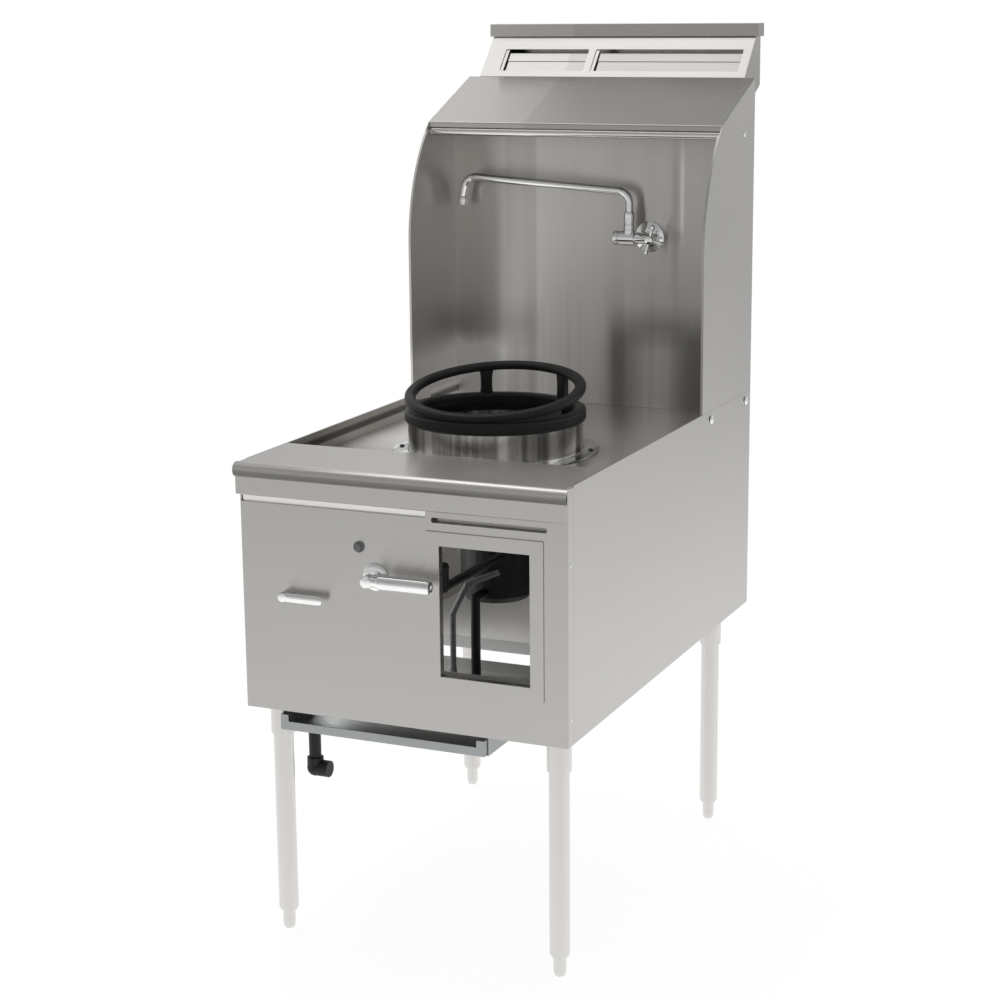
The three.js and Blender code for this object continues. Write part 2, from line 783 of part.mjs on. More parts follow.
// Front edge of a hood side: upright, then an arc that leans back to the shoulder.
function hoodFrontEdge(inset) {
  const run = hoodShoulderY - hoodFront;
  const rise = hoodShoulderZ - hoodCurveStart;
  const radius = (run * run + rise * rise) / (2 * run);
  const sweep = Math.asin(rise / radius) / degree;
  const bottom = rimHeight + seat;
  return [
    [hoodFront + inset, bottom],
    ...arc([hoodFront + radius, hoodCurveStart], radius - inset, 180, 180 - sweep, 12),
  ];
}

function hoodSide(sign) {
  const bottom = rimHeight + seat;
  const outline = [[cabinetDepth, bottom], [cabinetDepth, hoodTop], ...hoodFrontEdge(0).reverse()];
  const inner = sign * sideInner;
  const skin = extrudedX(outline, ...span(inner, sign * sideOuter));
  const hemPath = hoodFrontEdge(0).slice(0, -2);
  const joint = inner + sign * (sheet / 2);
  const hem = extrudedX(foldedSheet(hemPath, sheet), ...span(inner - sign * hoodHem, joint));
  const tabInner = insideHalf - sheet - seat - sheet;
  const tabs = [frontBoltY, rearBoltY].map((y) => {
    const depth = [y - tabDepth / 2, y + tabDepth / 2];
    const ear = block(span(sign * tabInner, joint), depth, [bottom, bottom + tabDrop / 2]);
    const tongue = block(
      span(sign * tabInner, sign * (tabInner + sheet)),
      depth,
      [rimHeight - tabDrop, bottom + tabDrop / 2],
    );
    return join(ear, tongue);
  });
  return join(skin, hem, ...tabs);
}

function splashBack() {
  const top = canopyUnderAt(splashY) - seat;
  const yLimits = [splashY, splashY + sheet];
  const betweenWalls = insideHalf - sheet - seat;
  return join(
    block([-insideHalf, insideHalf], yLimits, [rimHeight + seat, top]),
    block([-betweenWalls, betweenWalls], yLimits, [deckFloor + seat, rimHeight + 2 * seat]),
  );
}

function hoodCanopy() {
  const path = [
    [rearPanelFront, canopyTopAt(rearPanelFront)],
    [hoodShoulderY + sheet, canopyTopAt(hoodShoulderY + sheet)],
    [hoodShoulderY + sheet, canopyTopAt(hoodShoulderY + sheet) - canopyFold],
  ];
  const reversed = [...path].reverse();
  return extrudedX(foldedSheet(reversed, sheet), -insideHalf, insideHalf);
}

function hoodRearPanel() {
  const top = canopyUnderAt(rearPanelFront) - seat;
  const skin = block([-insideHalf, insideHalf], [rearPanelFront, cabinetDepth], [rimHeight, top]);
  const inlet = block(
    [-inletHalfWidth, inletHalfWidth],
    [rearPanelFront - 1, cabinetDepth + 1],
    [inletBottom, Math.min(inletTop, top - sheet)],
  );
  return cut(skin, inlet);
}

for (const [side, sign] of sides) add(`${side}_hood_side`, hoodSide(sign), stainless);
add('splash_back_panel', splashBack(), stainless);
add('hood_canopy', hoodCanopy(), stainless);
const lipY = hoodShoulderY + sheet + lipRadius - sheet;
const lipZ = canopyTopAt(hoodShoulderY + sheet) - canopyFold - seat - lipRadius;
add('hood_lip', bar([-insideHalf, lipY, lipZ], [insideHalf, lipY, lipZ], lipRadius), stainless);
add('hood_rear_panel', hoodRearPanel(), stainless);

for (const [side, sign] of sides) {
  for (const [place, y] of [['front', frontBoltY], ['rear', rearBoltY]]) {
    const z = rimHeight - boltDrop;
    const inside = sign * (sideOuter + seat);
    const shoulder = sign * (sideOuter + seat + boltHead / 2);
    const crown = sign * (sideOuter + seat + boltHead);
    const rimPart = bar([inside, y, z], [shoulder, y, z], boltRadius);
    const dome = bar([shoulder, y, z], [crown, y, z], boltRadius, 20, boltRadius * 0.55);
    add(`hood_bolt_${side}_${place}`, join(rimPart, dome), polished);
  }
}

// ---------------------------------------------------------------- flue riser and cap

const riserFoot = cabinetDepth + seat;
const riserLean = (riserTopFront - riserFoot) / (riserTop - hoodTop);
const riserFaceAt = (z) => riserFoot + (z - hoodTop) * riserLean;

function flueRiser() {
  const profile = (inset) => {
    const slant = inset * Math.hypot(1, riserLean);
    return [
      [riserFoot + inset, riserBottom + 2 * inset],
      [riserFoot + inset, hoodTop + (inset ? inset / 4 : 0)],
      [riserFaceAt(riserTop - inset) + slant, riserTop - inset],
      [riserBack - inset, riserTop - inset],
      [riserBack - inset, riserHeel + inset / 2],
    ];
  };
  const outer = extrudedX(profile(0), -riserHalfWidth, riserHalfWidth);
  const inner = extrudedX(profile(sheet), -(riserHalfWidth - sheet), riserHalfWidth - sheet);
  const inlet = block(
    [-inletHalfWidth, inletHalfWidth],
    [riserFoot - 1, riserFoot + 2 * sheet],
    [inletBottom, inletTop],
  );
  const vents = [[ventLeft, ventDividerLeft], [ventDividerRight, ventRight]].map((limits) => block(
    limits,
    [riserFoot - 1, riserFaceAt(ventTop) + 2 * sheet],
    [ventBottom, ventTop],
  ));
  return cut(outer, inner, inlet, ...vents);
}

function flueLouvre() {
  const middle = (ventBottom + ventTop) / 2 + louvreWidth / 4;
  const length = Math.hypot(1, riserLean);
  const dz = louvreWidth / 2 / length;
  const at = (z) => [riserFaceAt(z) + louvreSetback, z];
  const half = riserHalfWidth - sheet - seat;
  return extrudedX(foldedSheet([at(middle - dz), at(middle + dz)], sheet), -half, half);
}

// A channel with closed ends, open at the back.
function flueCap() {
  const bottom = riserTop + seat;
  const yLimits = [riserTopFront - capOverhang, capRear];
  const outer = block([-capHalfWidth, capHalfWidth], yLimits, [bottom, bottom + capHeight]);
  const hollow = block(
    [sheet - capHalfWidth, capHalfWidth - sheet],
    [yLimits[0] + sheet, yLimits[1] + 1],
    [bottom + sheet, bottom + capHeight - sheet],
  );
  return cut(outer, hollow);
}

add('flue_riser', flueRiser(), stainless);
add('flue_louvre', flueLouvre(), stainless);
add('flue_cap', flueCap(), stainless);

// ---------------------------------------------------------------- legs

function legSocket() {
  const top = cabinetBottom - seat;
  const cup = legRadius + seat;
  return turned([
    [0, top],
    [cup + socketWall, top],
    [cup + socketWall, top - socketHeight],
    [cup, top - socketHeight],
    [cup, top - plate],
    [0, top - plate],
  ]);
}

// The tube carries a threaded insert at its lower end.
function legTube() {
  const top = cabinetBottom - 2 * seat - plate;
  const bore = legRadius - legWall;
  const thread = stemRadius + seat;
  return turned([
    [thread, footVisible + seat],
    [legRadius, footVisible + seat],
    [legRadius, top],
    [bore, top],
    [bore, footVisible + seat + footGuideHeight],
    [thread, footVisible + seat + footGuideHeight],
  ], 24);
}

function foot() {
  return turned([
    [0, 0],
    [footRadius - 3, 0],
    [footRadius, 4],
    [footRadius, footVisible - 4],
    [footGuideRadius, footVisible - 2],
    [footGuideRadius, footVisible],
    [stemRadius, footVisible],
    [stemRadius, footVisible + footStem],
    [0, footVisible + footStem],
  ], 24);
}

const legRows = [['front', legInsetFront], ['rear', cabinetDepth - legInsetRear]];
for (const [row, y] of legRows) {
  for (const [side, sign] of sides) {
    const place = [sign * (sideOuter - legInsetX), y, 0];
    add(`leg_socket_${row}_${side}`, legSocket(), legSteel, place);
    add(`leg_${row}_${side}`, legTube(), legSteel, place);
    add(`foot_${row}_${side}`, foot(), legSteel, place);
  }
}

// ---------------------------------------------------------------- drip tray and runners

const trayRight = trayLeft + trayWidth;

function dripTray() {
  const yLimits = [trayFront, trayFront + trayDepth];
  const outer = block([trayLeft, trayRight], yLimits, [trayFloor, trayFloor + trayHeight]);
  const hollow = block(
    [trayLeft + sheet, trayRight - sheet],
    [yLimits[0] + sheet, yLimits[1] - sheet],
    [trayFloor + sheet, trayFloor + trayHeight + 1],
  );
  const frontNotch = block(
    [trayLeft + trayFrontWall, trayRight - trayFrontWall],
    [yLimits[0] - 1, yLimits[0] + 2 * sheet],
    [trayFloor + trayFrontWall, trayFloor + trayHeight + 1],
  );
  return cut(outer, hollow, frontNotch);
}

function trayRunner(edge, sign) {
  const inner = edge + sign * slide;
  const shelfTop = trayFloor - seat;
  const yLimits = [trayFront + frameReturn, crossBarRear];
  const web = block(span(inner, inner + sign * sheet), yLimits, [shelfTop - sheet, cabinetBottom - seat]);
  const shelfWidth = span(inner - sign * runnerShelf, inner + sign * (sheet / 2));
  const shelf = block(shelfWidth, yLimits, [shelfTop - sheet, shelfTop]);
  return join(web, shelf);
}

add('drip_tray', dripTray(), galvanised);
add('left_tray_runner', trayRunner(trayLeft, -1), galvanised);
add('right_tray_runner', trayRunner(trayRight, 1), galvanised);

// ---------------------------------------------------------------- gas pipes and valves

add('gas_elbow', join(
  bar([inletX, inletY, elbowHeight], [inletX, inletY, elbowHeight + elbowSocket], elbowRadius),
  ball([inletX, inletY, elbowHeight], elbowRadius * 1.05),
  bar([inletX, inletY, elbowHeight], [inletX + elbowReach, inletY, elbowHeight], elbowRadius),
), blackPipe);

const valveLeft = leverX - valveBossReach;
const valveRight = leverX + valveBossReach;
add('gas_inlet_pipe', pipeRun([
  [inletX, inletY, elbowHeight + elbowSocket + seat],
  [inletX, inletY, manifoldZ],
  [inletX, manifoldY, manifoldZ],
  [valveLeft - seat, manifoldY, manifoldZ],
], pipeRadius), blackPipe);

add('main_gas_valve', join(
  bar([leverX, sheet + seat, leverZ], [leverX, valveRear, leverZ], valveRadius),
  bar([valveLeft, manifoldY, leverZ], [valveRight, manifoldY, leverZ], valveBossRadius),
), brass);

// Front of the burner casting at a given X.
const burnerFrontAt = (x) => burnerY - Math.sqrt(burnerRadius ** 2 - x ** 2) - seat;
add('burner_supply_pipe', pipeRun([
  [valveRight + seat, manifoldY, leverZ],
  [supplyX, manifoldY, leverZ],
  [supplyX, manifoldY, supplyZ],
  [supplyX, burnerFrontAt(supplyX - supplyRadius), supplyZ],
], supplyRadius), blackPipe);

add('burner_riser_pipe', pipeRun([
  [riserPipeX, riserPipeY, railTop + seat],
  [riserPipeX, riserPipeY, riserPipeZ],
  [riserPipeX, burnerFrontAt(0), riserPipeZ],
], riserPipeRadius), blackPipe);

add(
  'pilot_valve',
  bar([pilotX, sheet + seat, pilotZ], [pilotX, pilotValveRear, pilotZ], pilotValveRadius),
  brass,
);

const pilotFootTop = railTop + seat + pilotFootHeight;
const pilotTipX = burnerRadius / 2;
const pilotTipY = burnerFrontAt(pilotTipX - pilotTubeRadius) - pilotTubeRadius;
add('pilot_tube', join(
  bar([pilotTubeX, riserPipeY, railTop + seat], [pilotTubeX, riserPipeY, pilotFootTop], pilotFootRadius),
  pipeRun([
    [pilotTubeX, riserPipeY, pilotFootTop],
    [pilotTubeX, riserPipeY, riserPipeZ - 34],
    [pilotTubeX + 26, riserPipeY + 6, riserPipeZ + 22],
    [pilotTipX, pilotTipY, riserPipeZ + 40],
  ], pilotTubeRadius, 12),
), galvanised);

// ---------------------------------------------------------------- controls

add('gas_lever_escutcheon', cut(
  bar(
    [leverX, -seat, leverZ],
    [leverX, -(seat + escutcheonThickness), leverZ],
    escutcheonRadius,
    32,
    escutcheonRadius - 4,
  ),
  bar([leverX, 0, leverZ], [leverX, -2 * escutcheonThickness, leverZ], spindleRadius + slide),
), polished);

function gasLever() {
  const y = -leverStandoff;
  const hub = bar(
    [leverX, y - leverHubRadius, leverZ],
    [leverX, y + leverHubRadius, leverZ],
    leverHubRadius,
  );
  const spindle = bar([leverX, y, leverZ], [leverX, sheet, leverZ], spindleRadius);
  const neckEnd = leverX + leverReach / 4;
  const neck = bar([leverX, y, leverZ], [neckEnd, y, leverZ], leverBarRadius * 0.7);
  const grip = bar([neckEnd, y, leverZ], [leverX + leverReach, y, leverZ], leverBarRadius);
  return join(hub, spindle, neck, grip);
}
add('gas_lever', gasLever(), polished);

function pilotLever() {
  const face = -(seat + pilotHubLength);
  const hub = bar([pilotX, face, pilotZ], [pilotX, -seat, pilotZ], pilotHubRadius);
  const spindle = bar([pilotX, face / 2, pilotZ], [pilotX, sheet, pilotZ], spindleRadius);
  const tab = block(
    [pilotX, pilotX + pilotReach],
    [face + 2, face + 2 + pilotTabThickness],
    [pilotZ - pilotTabHeight / 2, pilotZ + pilotTabHeight / 2],
  );
  return join(hub, spindle, tab);
}
add('pilot_lever', pilotLever(), polished);

add('igniter_body', cut(
  join(
    bar([buttonX, -(seat + bezelThickness), buttonZ], [buttonX, -seat, buttonZ], bezelRadius),
    bar([buttonX, -seat - 1, buttonZ], [buttonX, igniterDepth, buttonZ], buttonRadius + sheet),
  ),
  bar([buttonX, -igniterDepth, buttonZ], [buttonX, igniterDepth / 2, buttonZ], buttonRadius + seat),
), greyPlastic);
const buttonFront = -(seat + bezelThickness + buttonProud);
const buttonBack = igniterDepth / 2 - buttonTravel - slide;
add(
  'igniter_button',
  bar([buttonX, buttonFront, buttonZ], [buttonX, buttonBack, buttonZ], buttonRadius),
  greyPlastic,
);

// ---------------------------------------------------------------- faucet

add('faucet_escutcheon', cut(
  bar(
    [faucetX, splashY - seat, faucetZ],
    [faucetX, splashY - seat - faucetFlangeThickness, faucetZ],
    faucetFlangeRadius,
    32,
    faucetFlangeRadius * 0.7,
  ),
  bar(
    [faucetX, splashY, faucetZ],
    [faucetX, splashY - 2 * faucetFlangeThickness, faucetZ],
    faucetStemRadius + seat,
  ),
), polished);

const handleBack = faucetBodyY - faucetBodyRadius - seat;
const spoutSeatTop = faucetZ + faucetBodyRadius + 2;
const faucetNeckEnd = handleX + faucetNeckRadius;
add('faucet_valve_body', join(
  bar([faucetX, splashY - seat, faucetZ], [faucetX, faucetBodyY, faucetZ], faucetStemRadius),
  bar([faucetBodyLeft, faucetBodyY, faucetZ], [faucetBodyRight, faucetBodyY, faucetZ], faucetBodyRadius),
  bar([faucetBodyRight - 1, faucetBodyY, faucetZ], [faucetNeckEnd, faucetBodyY, faucetZ], faucetNeckRadius),
  bar([handleX, faucetBodyY, faucetZ], [handleX, handleBack + seat, faucetZ], handleHubRadius),
  bar([spoutX, faucetBodyY, faucetZ], [spoutX, faucetBodyY, spoutSeatTop], spoutCollarRadius),
), polished);

const collarBottom = spoutSeatTop + seat;
add('faucet_collar', cut(
  bar([spoutX, faucetBodyY, collarBottom], [spoutX, faucetBodyY, spoutCollarTop], spoutCollarRadius),
  bar(
    [spoutX, faucetBodyY, collarBottom + 6],
    [spoutX, faucetBodyY, spoutCollarTop + 1],
    spoutRadius + seat,
  ),
), polished);

// The spout rises from its collar, bends towards the left and ends in a short drop.
function spoutCurve() {
  const start = new THREE.Vector3(spoutX, faucetBodyY, collarBottom + 6 + seat);
  const corner = new THREE.Vector3(spoutX, faucetBodyY, spoutElbowZ);
  const farZ = spoutElbowZ + spoutRise;
  const far = new THREE.Vector3(spoutEndX, faucetBodyY, farZ);
  const end = new THREE.Vector3(spoutEndX - spoutDrop / 4, faucetBodyY, farZ - spoutDrop);
  const along = far.clone().sub(corner).normalize();
  const down = end.clone().sub(far).normalize();
  const curve = new THREE.CurvePath();
  const beforeElbow = corner.clone().setZ(corner.z - spoutBendRadius);
  const afterElbow = corner.clone().addScaledVector(along, spoutBendRadius);
  const beforeBend = far.clone().addScaledVector(along, -spoutBendRadius / 1.5);
  const afterBend = far.clone().addScaledVector(down, spoutBendRadius / 1.5);
  curve.add(new THREE.LineCurve3(start, beforeElbow));
  curve.add(new THREE.QuadraticBezierCurve3(beforeElbow, corner, afterElbow));
  curve.add(new THREE.LineCurve3(afterElbow, beforeBend));
  curve.add(new THREE.QuadraticBezierCurve3(beforeBend, far, afterBend));
  curve.add(new THREE.LineCurve3(afterBend, end));
  return { curve, end };
}

const spoutPath = spoutCurve();
const spoutSection = outlineShape(arc([0, 0], spoutRadius, 0, 330, 11));
add('faucet_spout', solid(new THREE.ExtrudeGeometry(spoutSection, {
  steps: 44,
  bevelEnabled: false,
  extrudePath: spoutPath.curve,
})), polished);

const aeratorTop = spoutPath.end.z - seat - spoutRadius / 4;
add('faucet_aerator', bar(
  [spoutPath.end.x, faucetBodyY, aeratorTop],
  [spoutPath.end.x, faucetBodyY, aeratorTop - aeratorHeight],
  aeratorRadius,
), polished);

function crossHandle() {
  const handleFront = handleBack - handleHubLength;
  const y = (handleBack + handleFront) / 2;
  const hub = bar([handleX, handleBack, faucetZ], [handleX, handleFront, faucetZ], handleHubRadius);
  const arms = [0, 90, 180, 270].map((quarter) => {
    const angle = (quarter + handleTurn) * degree;
    const tip = [handleX + handleArm * Math.cos(angle), y, faucetZ + handleArm * Math.sin(angle)];
    const arm = bar([handleX, y, faucetZ], tip, handleArmRadius, 12);
    return join(arm, ball(tip, handleArmRadius * 1.5, 12));
  });
  return join(hub, ...arms);
}
add('faucet_handle', crossHandle(), polished);

const model = new THREE.Group();
model.add(range);

export default model;
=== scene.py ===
"""Looks of a single-burner wok range: camera, fine forms of its sheets and castings, finishes and studio."""

from math import acos, asin, atan2, ceil, cos, degrees, hypot, pi, radians, sin, tan

import bmesh
import bpy
from mathutils import Matrix, Vector


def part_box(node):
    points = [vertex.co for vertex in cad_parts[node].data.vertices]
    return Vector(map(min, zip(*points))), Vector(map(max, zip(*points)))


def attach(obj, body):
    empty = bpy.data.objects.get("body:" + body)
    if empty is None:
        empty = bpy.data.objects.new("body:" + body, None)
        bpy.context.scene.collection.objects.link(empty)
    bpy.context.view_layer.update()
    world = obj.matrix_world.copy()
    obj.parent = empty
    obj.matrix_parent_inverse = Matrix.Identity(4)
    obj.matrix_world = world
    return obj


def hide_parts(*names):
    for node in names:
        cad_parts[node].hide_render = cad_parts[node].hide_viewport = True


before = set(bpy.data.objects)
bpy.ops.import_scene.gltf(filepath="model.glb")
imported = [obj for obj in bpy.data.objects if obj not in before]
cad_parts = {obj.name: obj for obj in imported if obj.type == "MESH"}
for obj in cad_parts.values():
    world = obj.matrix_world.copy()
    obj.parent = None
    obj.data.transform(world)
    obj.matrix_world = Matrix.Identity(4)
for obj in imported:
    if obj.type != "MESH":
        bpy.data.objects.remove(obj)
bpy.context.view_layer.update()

# ---- dimensions, in millimetres ----

SHEET = 1.5
PLATE = 2.0
SEAT = 0.3
BEND = 2.2                        # outer radius of a sharp fold
WELD = 0.004                      # points closer than this become one

SIDE = 300.0
SIDE_INNER = SIDE - SHEET
INSIDE = SIDE_INNER - SEAT
DEPTH = 965.0
BOTTOM = 428.0
RIM = 862.0
FRONT_RETURN = 25.0
SIDE_FLANGE = 30.0

LEDGE_DEPTH = 167.0
DECK_FLOOR = 828.0
NOSE_RADIUS = 13.0
NOSE_REACH = 17.0
NOSE_HALF_WIDTH = 303.0
APRON_BOTTOM = 806.0
APRON_SETBACK = 8.0
SPLASH_Y = 880.0

BURNER_Y = 398.0
COLLAR_RADIUS = 157.5
COLLAR_BOTTOM = DECK_FLOOR + SEAT
COLLAR_TOP = 883.3
COLLAR_FLANGE = 186.0
FLANGE_BOLT_RADIUS = 172.0
FLANGE_BOLT_ANGLES = (-165.0, -75.0, 15.0, 105.0)
DECK_HOLE = 152.0
RING_OUTER = 163.0
RING_INNER = 140.0
RING_BOTTOM = COLLAR_TOP + SEAT
RING_HEIGHT = 22.0
RIM_INNER = 143.0
RIM_THICK = 14.0
RIM_TILT = 8.5
RIM_CENTRE = RING_BOTTOM + RING_HEIGHT + 29.0
POST_ANGLES = (60, 120)
FRONT_WALL_WIDTH = 10.0
FRONT_WALL_ANGLE = 20.0

HOOD_FRONT = 668.0
HOOD_CURVE_START = 1150.0
SHOULDER_Y = 766.0
SHOULDER_Z = 1386.0
HOOD_TOP = 1467.0
HOOD_HEM = 3.0
HEM_CLEAR = 0.02                  # how far the hem stays inside the skin's edge
HOOD_TAB = (25.0, RIM - 30.0, RIM + 16.0)  # half width, bottom, top
HOOD_BOLTS = (("front", 720.0), ("rear", 934.0))
HOOD_BOLT_Z = RIM - 17.0
HOOD_SCREW = (902.0, 1364.0)              # depth and height
CANOPY_FOLD = 10.0
LIP_RADIUS = 8.0

RISER_HALF = 278.0
RISER_FOOT = DEPTH + SEAT
RISER_TOP_FRONT = 1036.0
RISER_BACK = 1066.0
RISER_TOP = 1543.0
RISER_BOTTOM = 1398.0
RISER_HEEL = 1450.0
VENT_BOTTOM = 1478.0
VENT_TOP = 1519.0
VENTS = ((-240.0, -60.0), (-45.0, 261.0))
CAP_HALF = 284.0
CAP_FRONT = RISER_TOP_FRONT - 3.0
CAP_REAR = RISER_BACK + 3.0
CAP_HEIGHT = 25.0
FLUE_INLET = (-262.0, 262.0, 1404.0, 1458.0)      # left, right, bottom, top

WINDOW = (73.0, 234.0, 525.0, 748.0)      # left, right, bottom, top
FRAME_BORDER = 24.0
SLOT = (59.0, 264.0, 786.0, 795.0)
SLOT_BAFFLE = 13.0                        # upright sheet behind the slot, open above
STEP_RIGHT = 50.0
STEP_BOTTOM = 793.0
STEP_TOP = 806.0
STEP_DEPTH = 8.0
CORNER_SCREW_Y = 12.5
CORNER_SCREW_HEIGHTS = (733.0, 473.0)
SPINDLE_HOLE = 5.5
BUTTON_HOLE = 9.0
THROUGH_PANEL = (-5.0, 12.0)              # depths between which openings are cut

LEG_X = 261.4
LEG_ROWS = (("front", 55.0), ("rear", 850.0))
LEG_RADIUS = 17.5
LEG_TOP = 425.4
SOCKET_RADIUS = 21.0
SOCKET_HEIGHT = 60.0
FOOT_TOP = 40.0
FOOT_BORE = 7.3

LEVER_X, LEVER_Z = -44.5, 684.0
PILOT_X, PILOT_Z = -213.0, 636.0
BUTTON_X, BUTTON_Z = -74.5, 733.0
LEVER_STANDOFF = 30.0
LEVER_REACH = 116.0

FAUCET_X, FAUCET_Z = 118.0, 1165.0
FAUCET_Y = 848.0
FAUCET_LEFT = 57.0
FAUCET_RIGHT = 102.0
BARREL_RADIUS = 14.5
HANDLE_X = 136.0
SPOUT_X = 88.0
SPOUT_ELBOW_Z = 1254.0
SPOUT_END_X = -256.0
SPOUT_END_Z = 1276.0
SPOUT_TIP_X = -265.5
SPOUT_TIP_Z = 1238.0
SPOUT_BEND = 24.0
SPOUT_RADIUS = 8.0

CAMERA_PLACE = (1566.1, -3139.7, 1622.1)  # from the front panel's middle, at the floor
CAMERA_TURN = (23.78, 12.93, -0.54)       # left, down and rolled, in degrees
CAMERA_LENS = 78.86
SIDES = (("left", -1), ("right", 1))

FRONT_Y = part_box("front_panel")[0].y


def at(point):
    """A point in millimetres from the front panel's middle, as metres in the row frame."""
    x, y, z = point
    return Vector((x / 1000, FRONT_Y + y / 1000, z / 1000))


def linked(name, data):
    """A new object of this data, in the scene."""
    obj = bpy.data.objects.new(name, data)
    bpy.context.scene.collection.objects.link(obj)
    return obj


# ---- camera ----

def add_camera():
    """The view from the front and the right, a little above the deck."""
    yaw, pitch, roll = [radians(angle) for angle in CAMERA_TURN]
    forward = Vector((-sin(yaw) * cos(pitch), cos(yaw) * cos(pitch), -sin(pitch)))
    right = Vector((cos(yaw), sin(yaw), 0))
    up = right.cross(forward)
    turned_right = cos(roll) * right + sin(roll) * up
    turned_up = cos(roll) * up - sin(roll) * right
    data = bpy.data.cameras.new("camera")
    data.sensor_width = 36
    data.lens = CAMERA_LENS
    camera = linked("camera", data)
    turn = Matrix((turned_right, turned_up, -forward)).transposed()
    camera.matrix_world = Matrix.Translation(at(CAMERA_PLACE)) @ turn.to_4x4()
    bpy.context.scene.camera = camera


add_camera()

# ---- plane geometry ----


def arc(centre, radius, start, end, steps):
    """Points on an arc about a centre, angles in degrees."""
    turn = (end - start) / steps
    angles = [radians(start + turn * i) for i in range(steps + 1)]
    return [(centre[0] + radius * cos(a), centre[1] + radius * sin(a)) for a in angles]


def corner_arc(before, corner, after, radius):
    """The arc that rounds one corner."""
    corner = Vector(corner)
    a = Vector(before) - corner
    b = Vector(after) - corner
    angle = a.angle(b)
    if angle > pi - 0.01:
        return [tuple(corner)]
    reach = min(radius / tan(angle / 2), a.length * 0.49, b.length * 0.49)
    radius = reach * tan(angle / 2)
    a.normalize()
    b.normalize()
    centre = corner + (a + b).normalized() * (radius / sin(angle / 2))
    first = corner + a * reach - centre
    last = corner + b * reach - centre
    steps = max(2, ceil((pi - angle) / radians(15)))
    start = degrees(atan2(first.y, first.x))
    swing = degrees(atan2(first.x * last.y - first.y * last.x, first.dot(last)))
    return arc(centre, radius, start, start + swing, steps)


def rounded_path(points, radius):
    """An open path with its inner corners rounded."""
    path = [points[0]]
    for before, corner, after in zip(points, points[1:], points[2:]):
        path += corner_arc(before, corner, after, radius)
    return path + [points[-1]]


def rounded_loop(points, radius):
    """A closed outline with all its corners rounded."""
    count = len(points)
    loop = []
    for i, corner in enumerate(points):
        loop += corner_arc(points[i - 1], corner, points[(i + 1) % count], radius)
    return loop


def offset_path(path, gauge):
    """The path moved to its left by the gauge."""
    points = [Vector(p) for p in path]
    normals = []
    for a, b in zip(points, points[1:]):
        along = (b - a).normalized()
        normals.append(Vector((-along.y, along.x)))
    shifted = []
    for i, point in enumerate(points):
        before = normals[max(i - 1, 0)]
        after = normals[min(i, len(normals) - 1)]
        middle = (before + after).normalized()
        shifted.append(tuple(point + middle * (gauge / middle.dot(after))))
    return shifted


def sheet(path, gauge=-SHEET):
    """Outline of a bent sheet: its face and the same face moved by the gauge to its left."""
    return path + offset_path(path, gauge)[::-1]


def folded(points, gauge=SHEET, radius=BEND):
    """Outline of a sheet folded round the points."""
    return sheet(rounded_path(points, radius), gauge)


def rectangle(left, right, bottom, top):
    return [(left, bottom), (right, bottom), (right, top), (left, top)]


def circle(centre, radius, steps=48):
    return arc(centre, radius, 0, 360 - 360 / steps, steps - 1)


# ---- shells: (points, faces) in millimetres ----

def outward(points, faces):
    """The same closed shell with its faces turned to look outwards."""
    spots = [Vector(p) for p in points]
    volume = 0.0
    for face in faces:
        first = spots[face[0]]
        for i in range(1, len(face) - 1):
            volume += first.dot(spots[face[i]].cross(spots[face[i + 1]]))
    if volume < 0:
        faces = [face[::-1] for face in faces]
    return points, faces


def stacked(points, count):
    """Closes a stack of like sections, each with this count of points, into a shell."""
    faces = []
    for low in range(0, len(points) - count, count):
        for k in range(count):
            a, b = low + k, low + (k + 1) % count
            faces.append((a, b, b + count, a + count))
    faces.append(tuple(range(count))[::-1])
    faces.append(tuple(range(len(points) - count, len(points))))
    return outward(points, faces)


def prism(outline, axis, start, end):
    """A closed outline in the two other coordinates, drawn along an axis."""
    place = "XYZ".index(axis)
    points = [(*pair[:place], along, *pair[place:]) for along in (start, end) for pair in outline]
    return stacked(points, len(outline))


def lathe(profile, segments):
    """A profile of (radius, height) points turned about Z; it closes on itself or meets the axis."""
    points, rings = [], []
    for radius, height in profile:
        if radius < 1e-6:
            rings.append([len(points)])
            points.append((0, 0, height))
            continue
        rings.append(list(range(len(points), len(points) + segments)))
        for i in range(segments):
            angle = 2 * pi * i / segments
            points.append((radius * cos(angle), radius * sin(angle), height))
    faces = []
    for low, high in zip(rings, rings[1:] + rings[:1]):
        for i in range(segments):
            j = (i + 1) % segments
            quad = [low[i % len(low)], low[j % len(low)], high[j % len(high)], high[i % len(high)]]
            face = tuple(dict.fromkeys(quad))
            if len(face) > 2:
                faces.append(face)
    return outward(points, faces)


def sweep(path, radius, segments):
    """A round tube along a path of points."""
    spots = [Vector(p) for p in path]
    points = []
    side = (spots[1] - spots[0]).normalized().orthogonal().normalized()
    for i, spot in enumerate(spots):
        ahead = spots[min(i + 1, len(spots) - 1)]
        behind = spots[max(i - 1, 0)]
        direction = (ahead - behind).normalized()
        side = (side - direction * side.dot(direction)).normalized()
        other = direction.cross(side)
        for k in range(segments):
            angle = 2 * pi * k / segments
            points.append(tuple(spot + (side * cos(angle) + other * sin(angle)) * radius))
    return stacked(points, segments)


def moved(shell, matrix):
    points, faces = shell
    return [tuple(matrix @ Vector(p)) for p in points], faces


def turned(place, angle=0.0, axis="Z"):
    """Matrix that turns by an angle in radians and then sets down at a place."""
    return Matrix.Translation(place) @ Matrix.Rotation(angle, 4, axis)


def upright(profile, segments, x, y, z=0.0):
    """A profile turned about an upright axis."""
    return moved(lathe(profile, segments), turned((x, y, z)))


def facing_front(profile, segments, place):
    """A profile turned about an axis that points at the front."""
    return moved(lathe(profile, segments), turned(place, pi / 2, "X"))


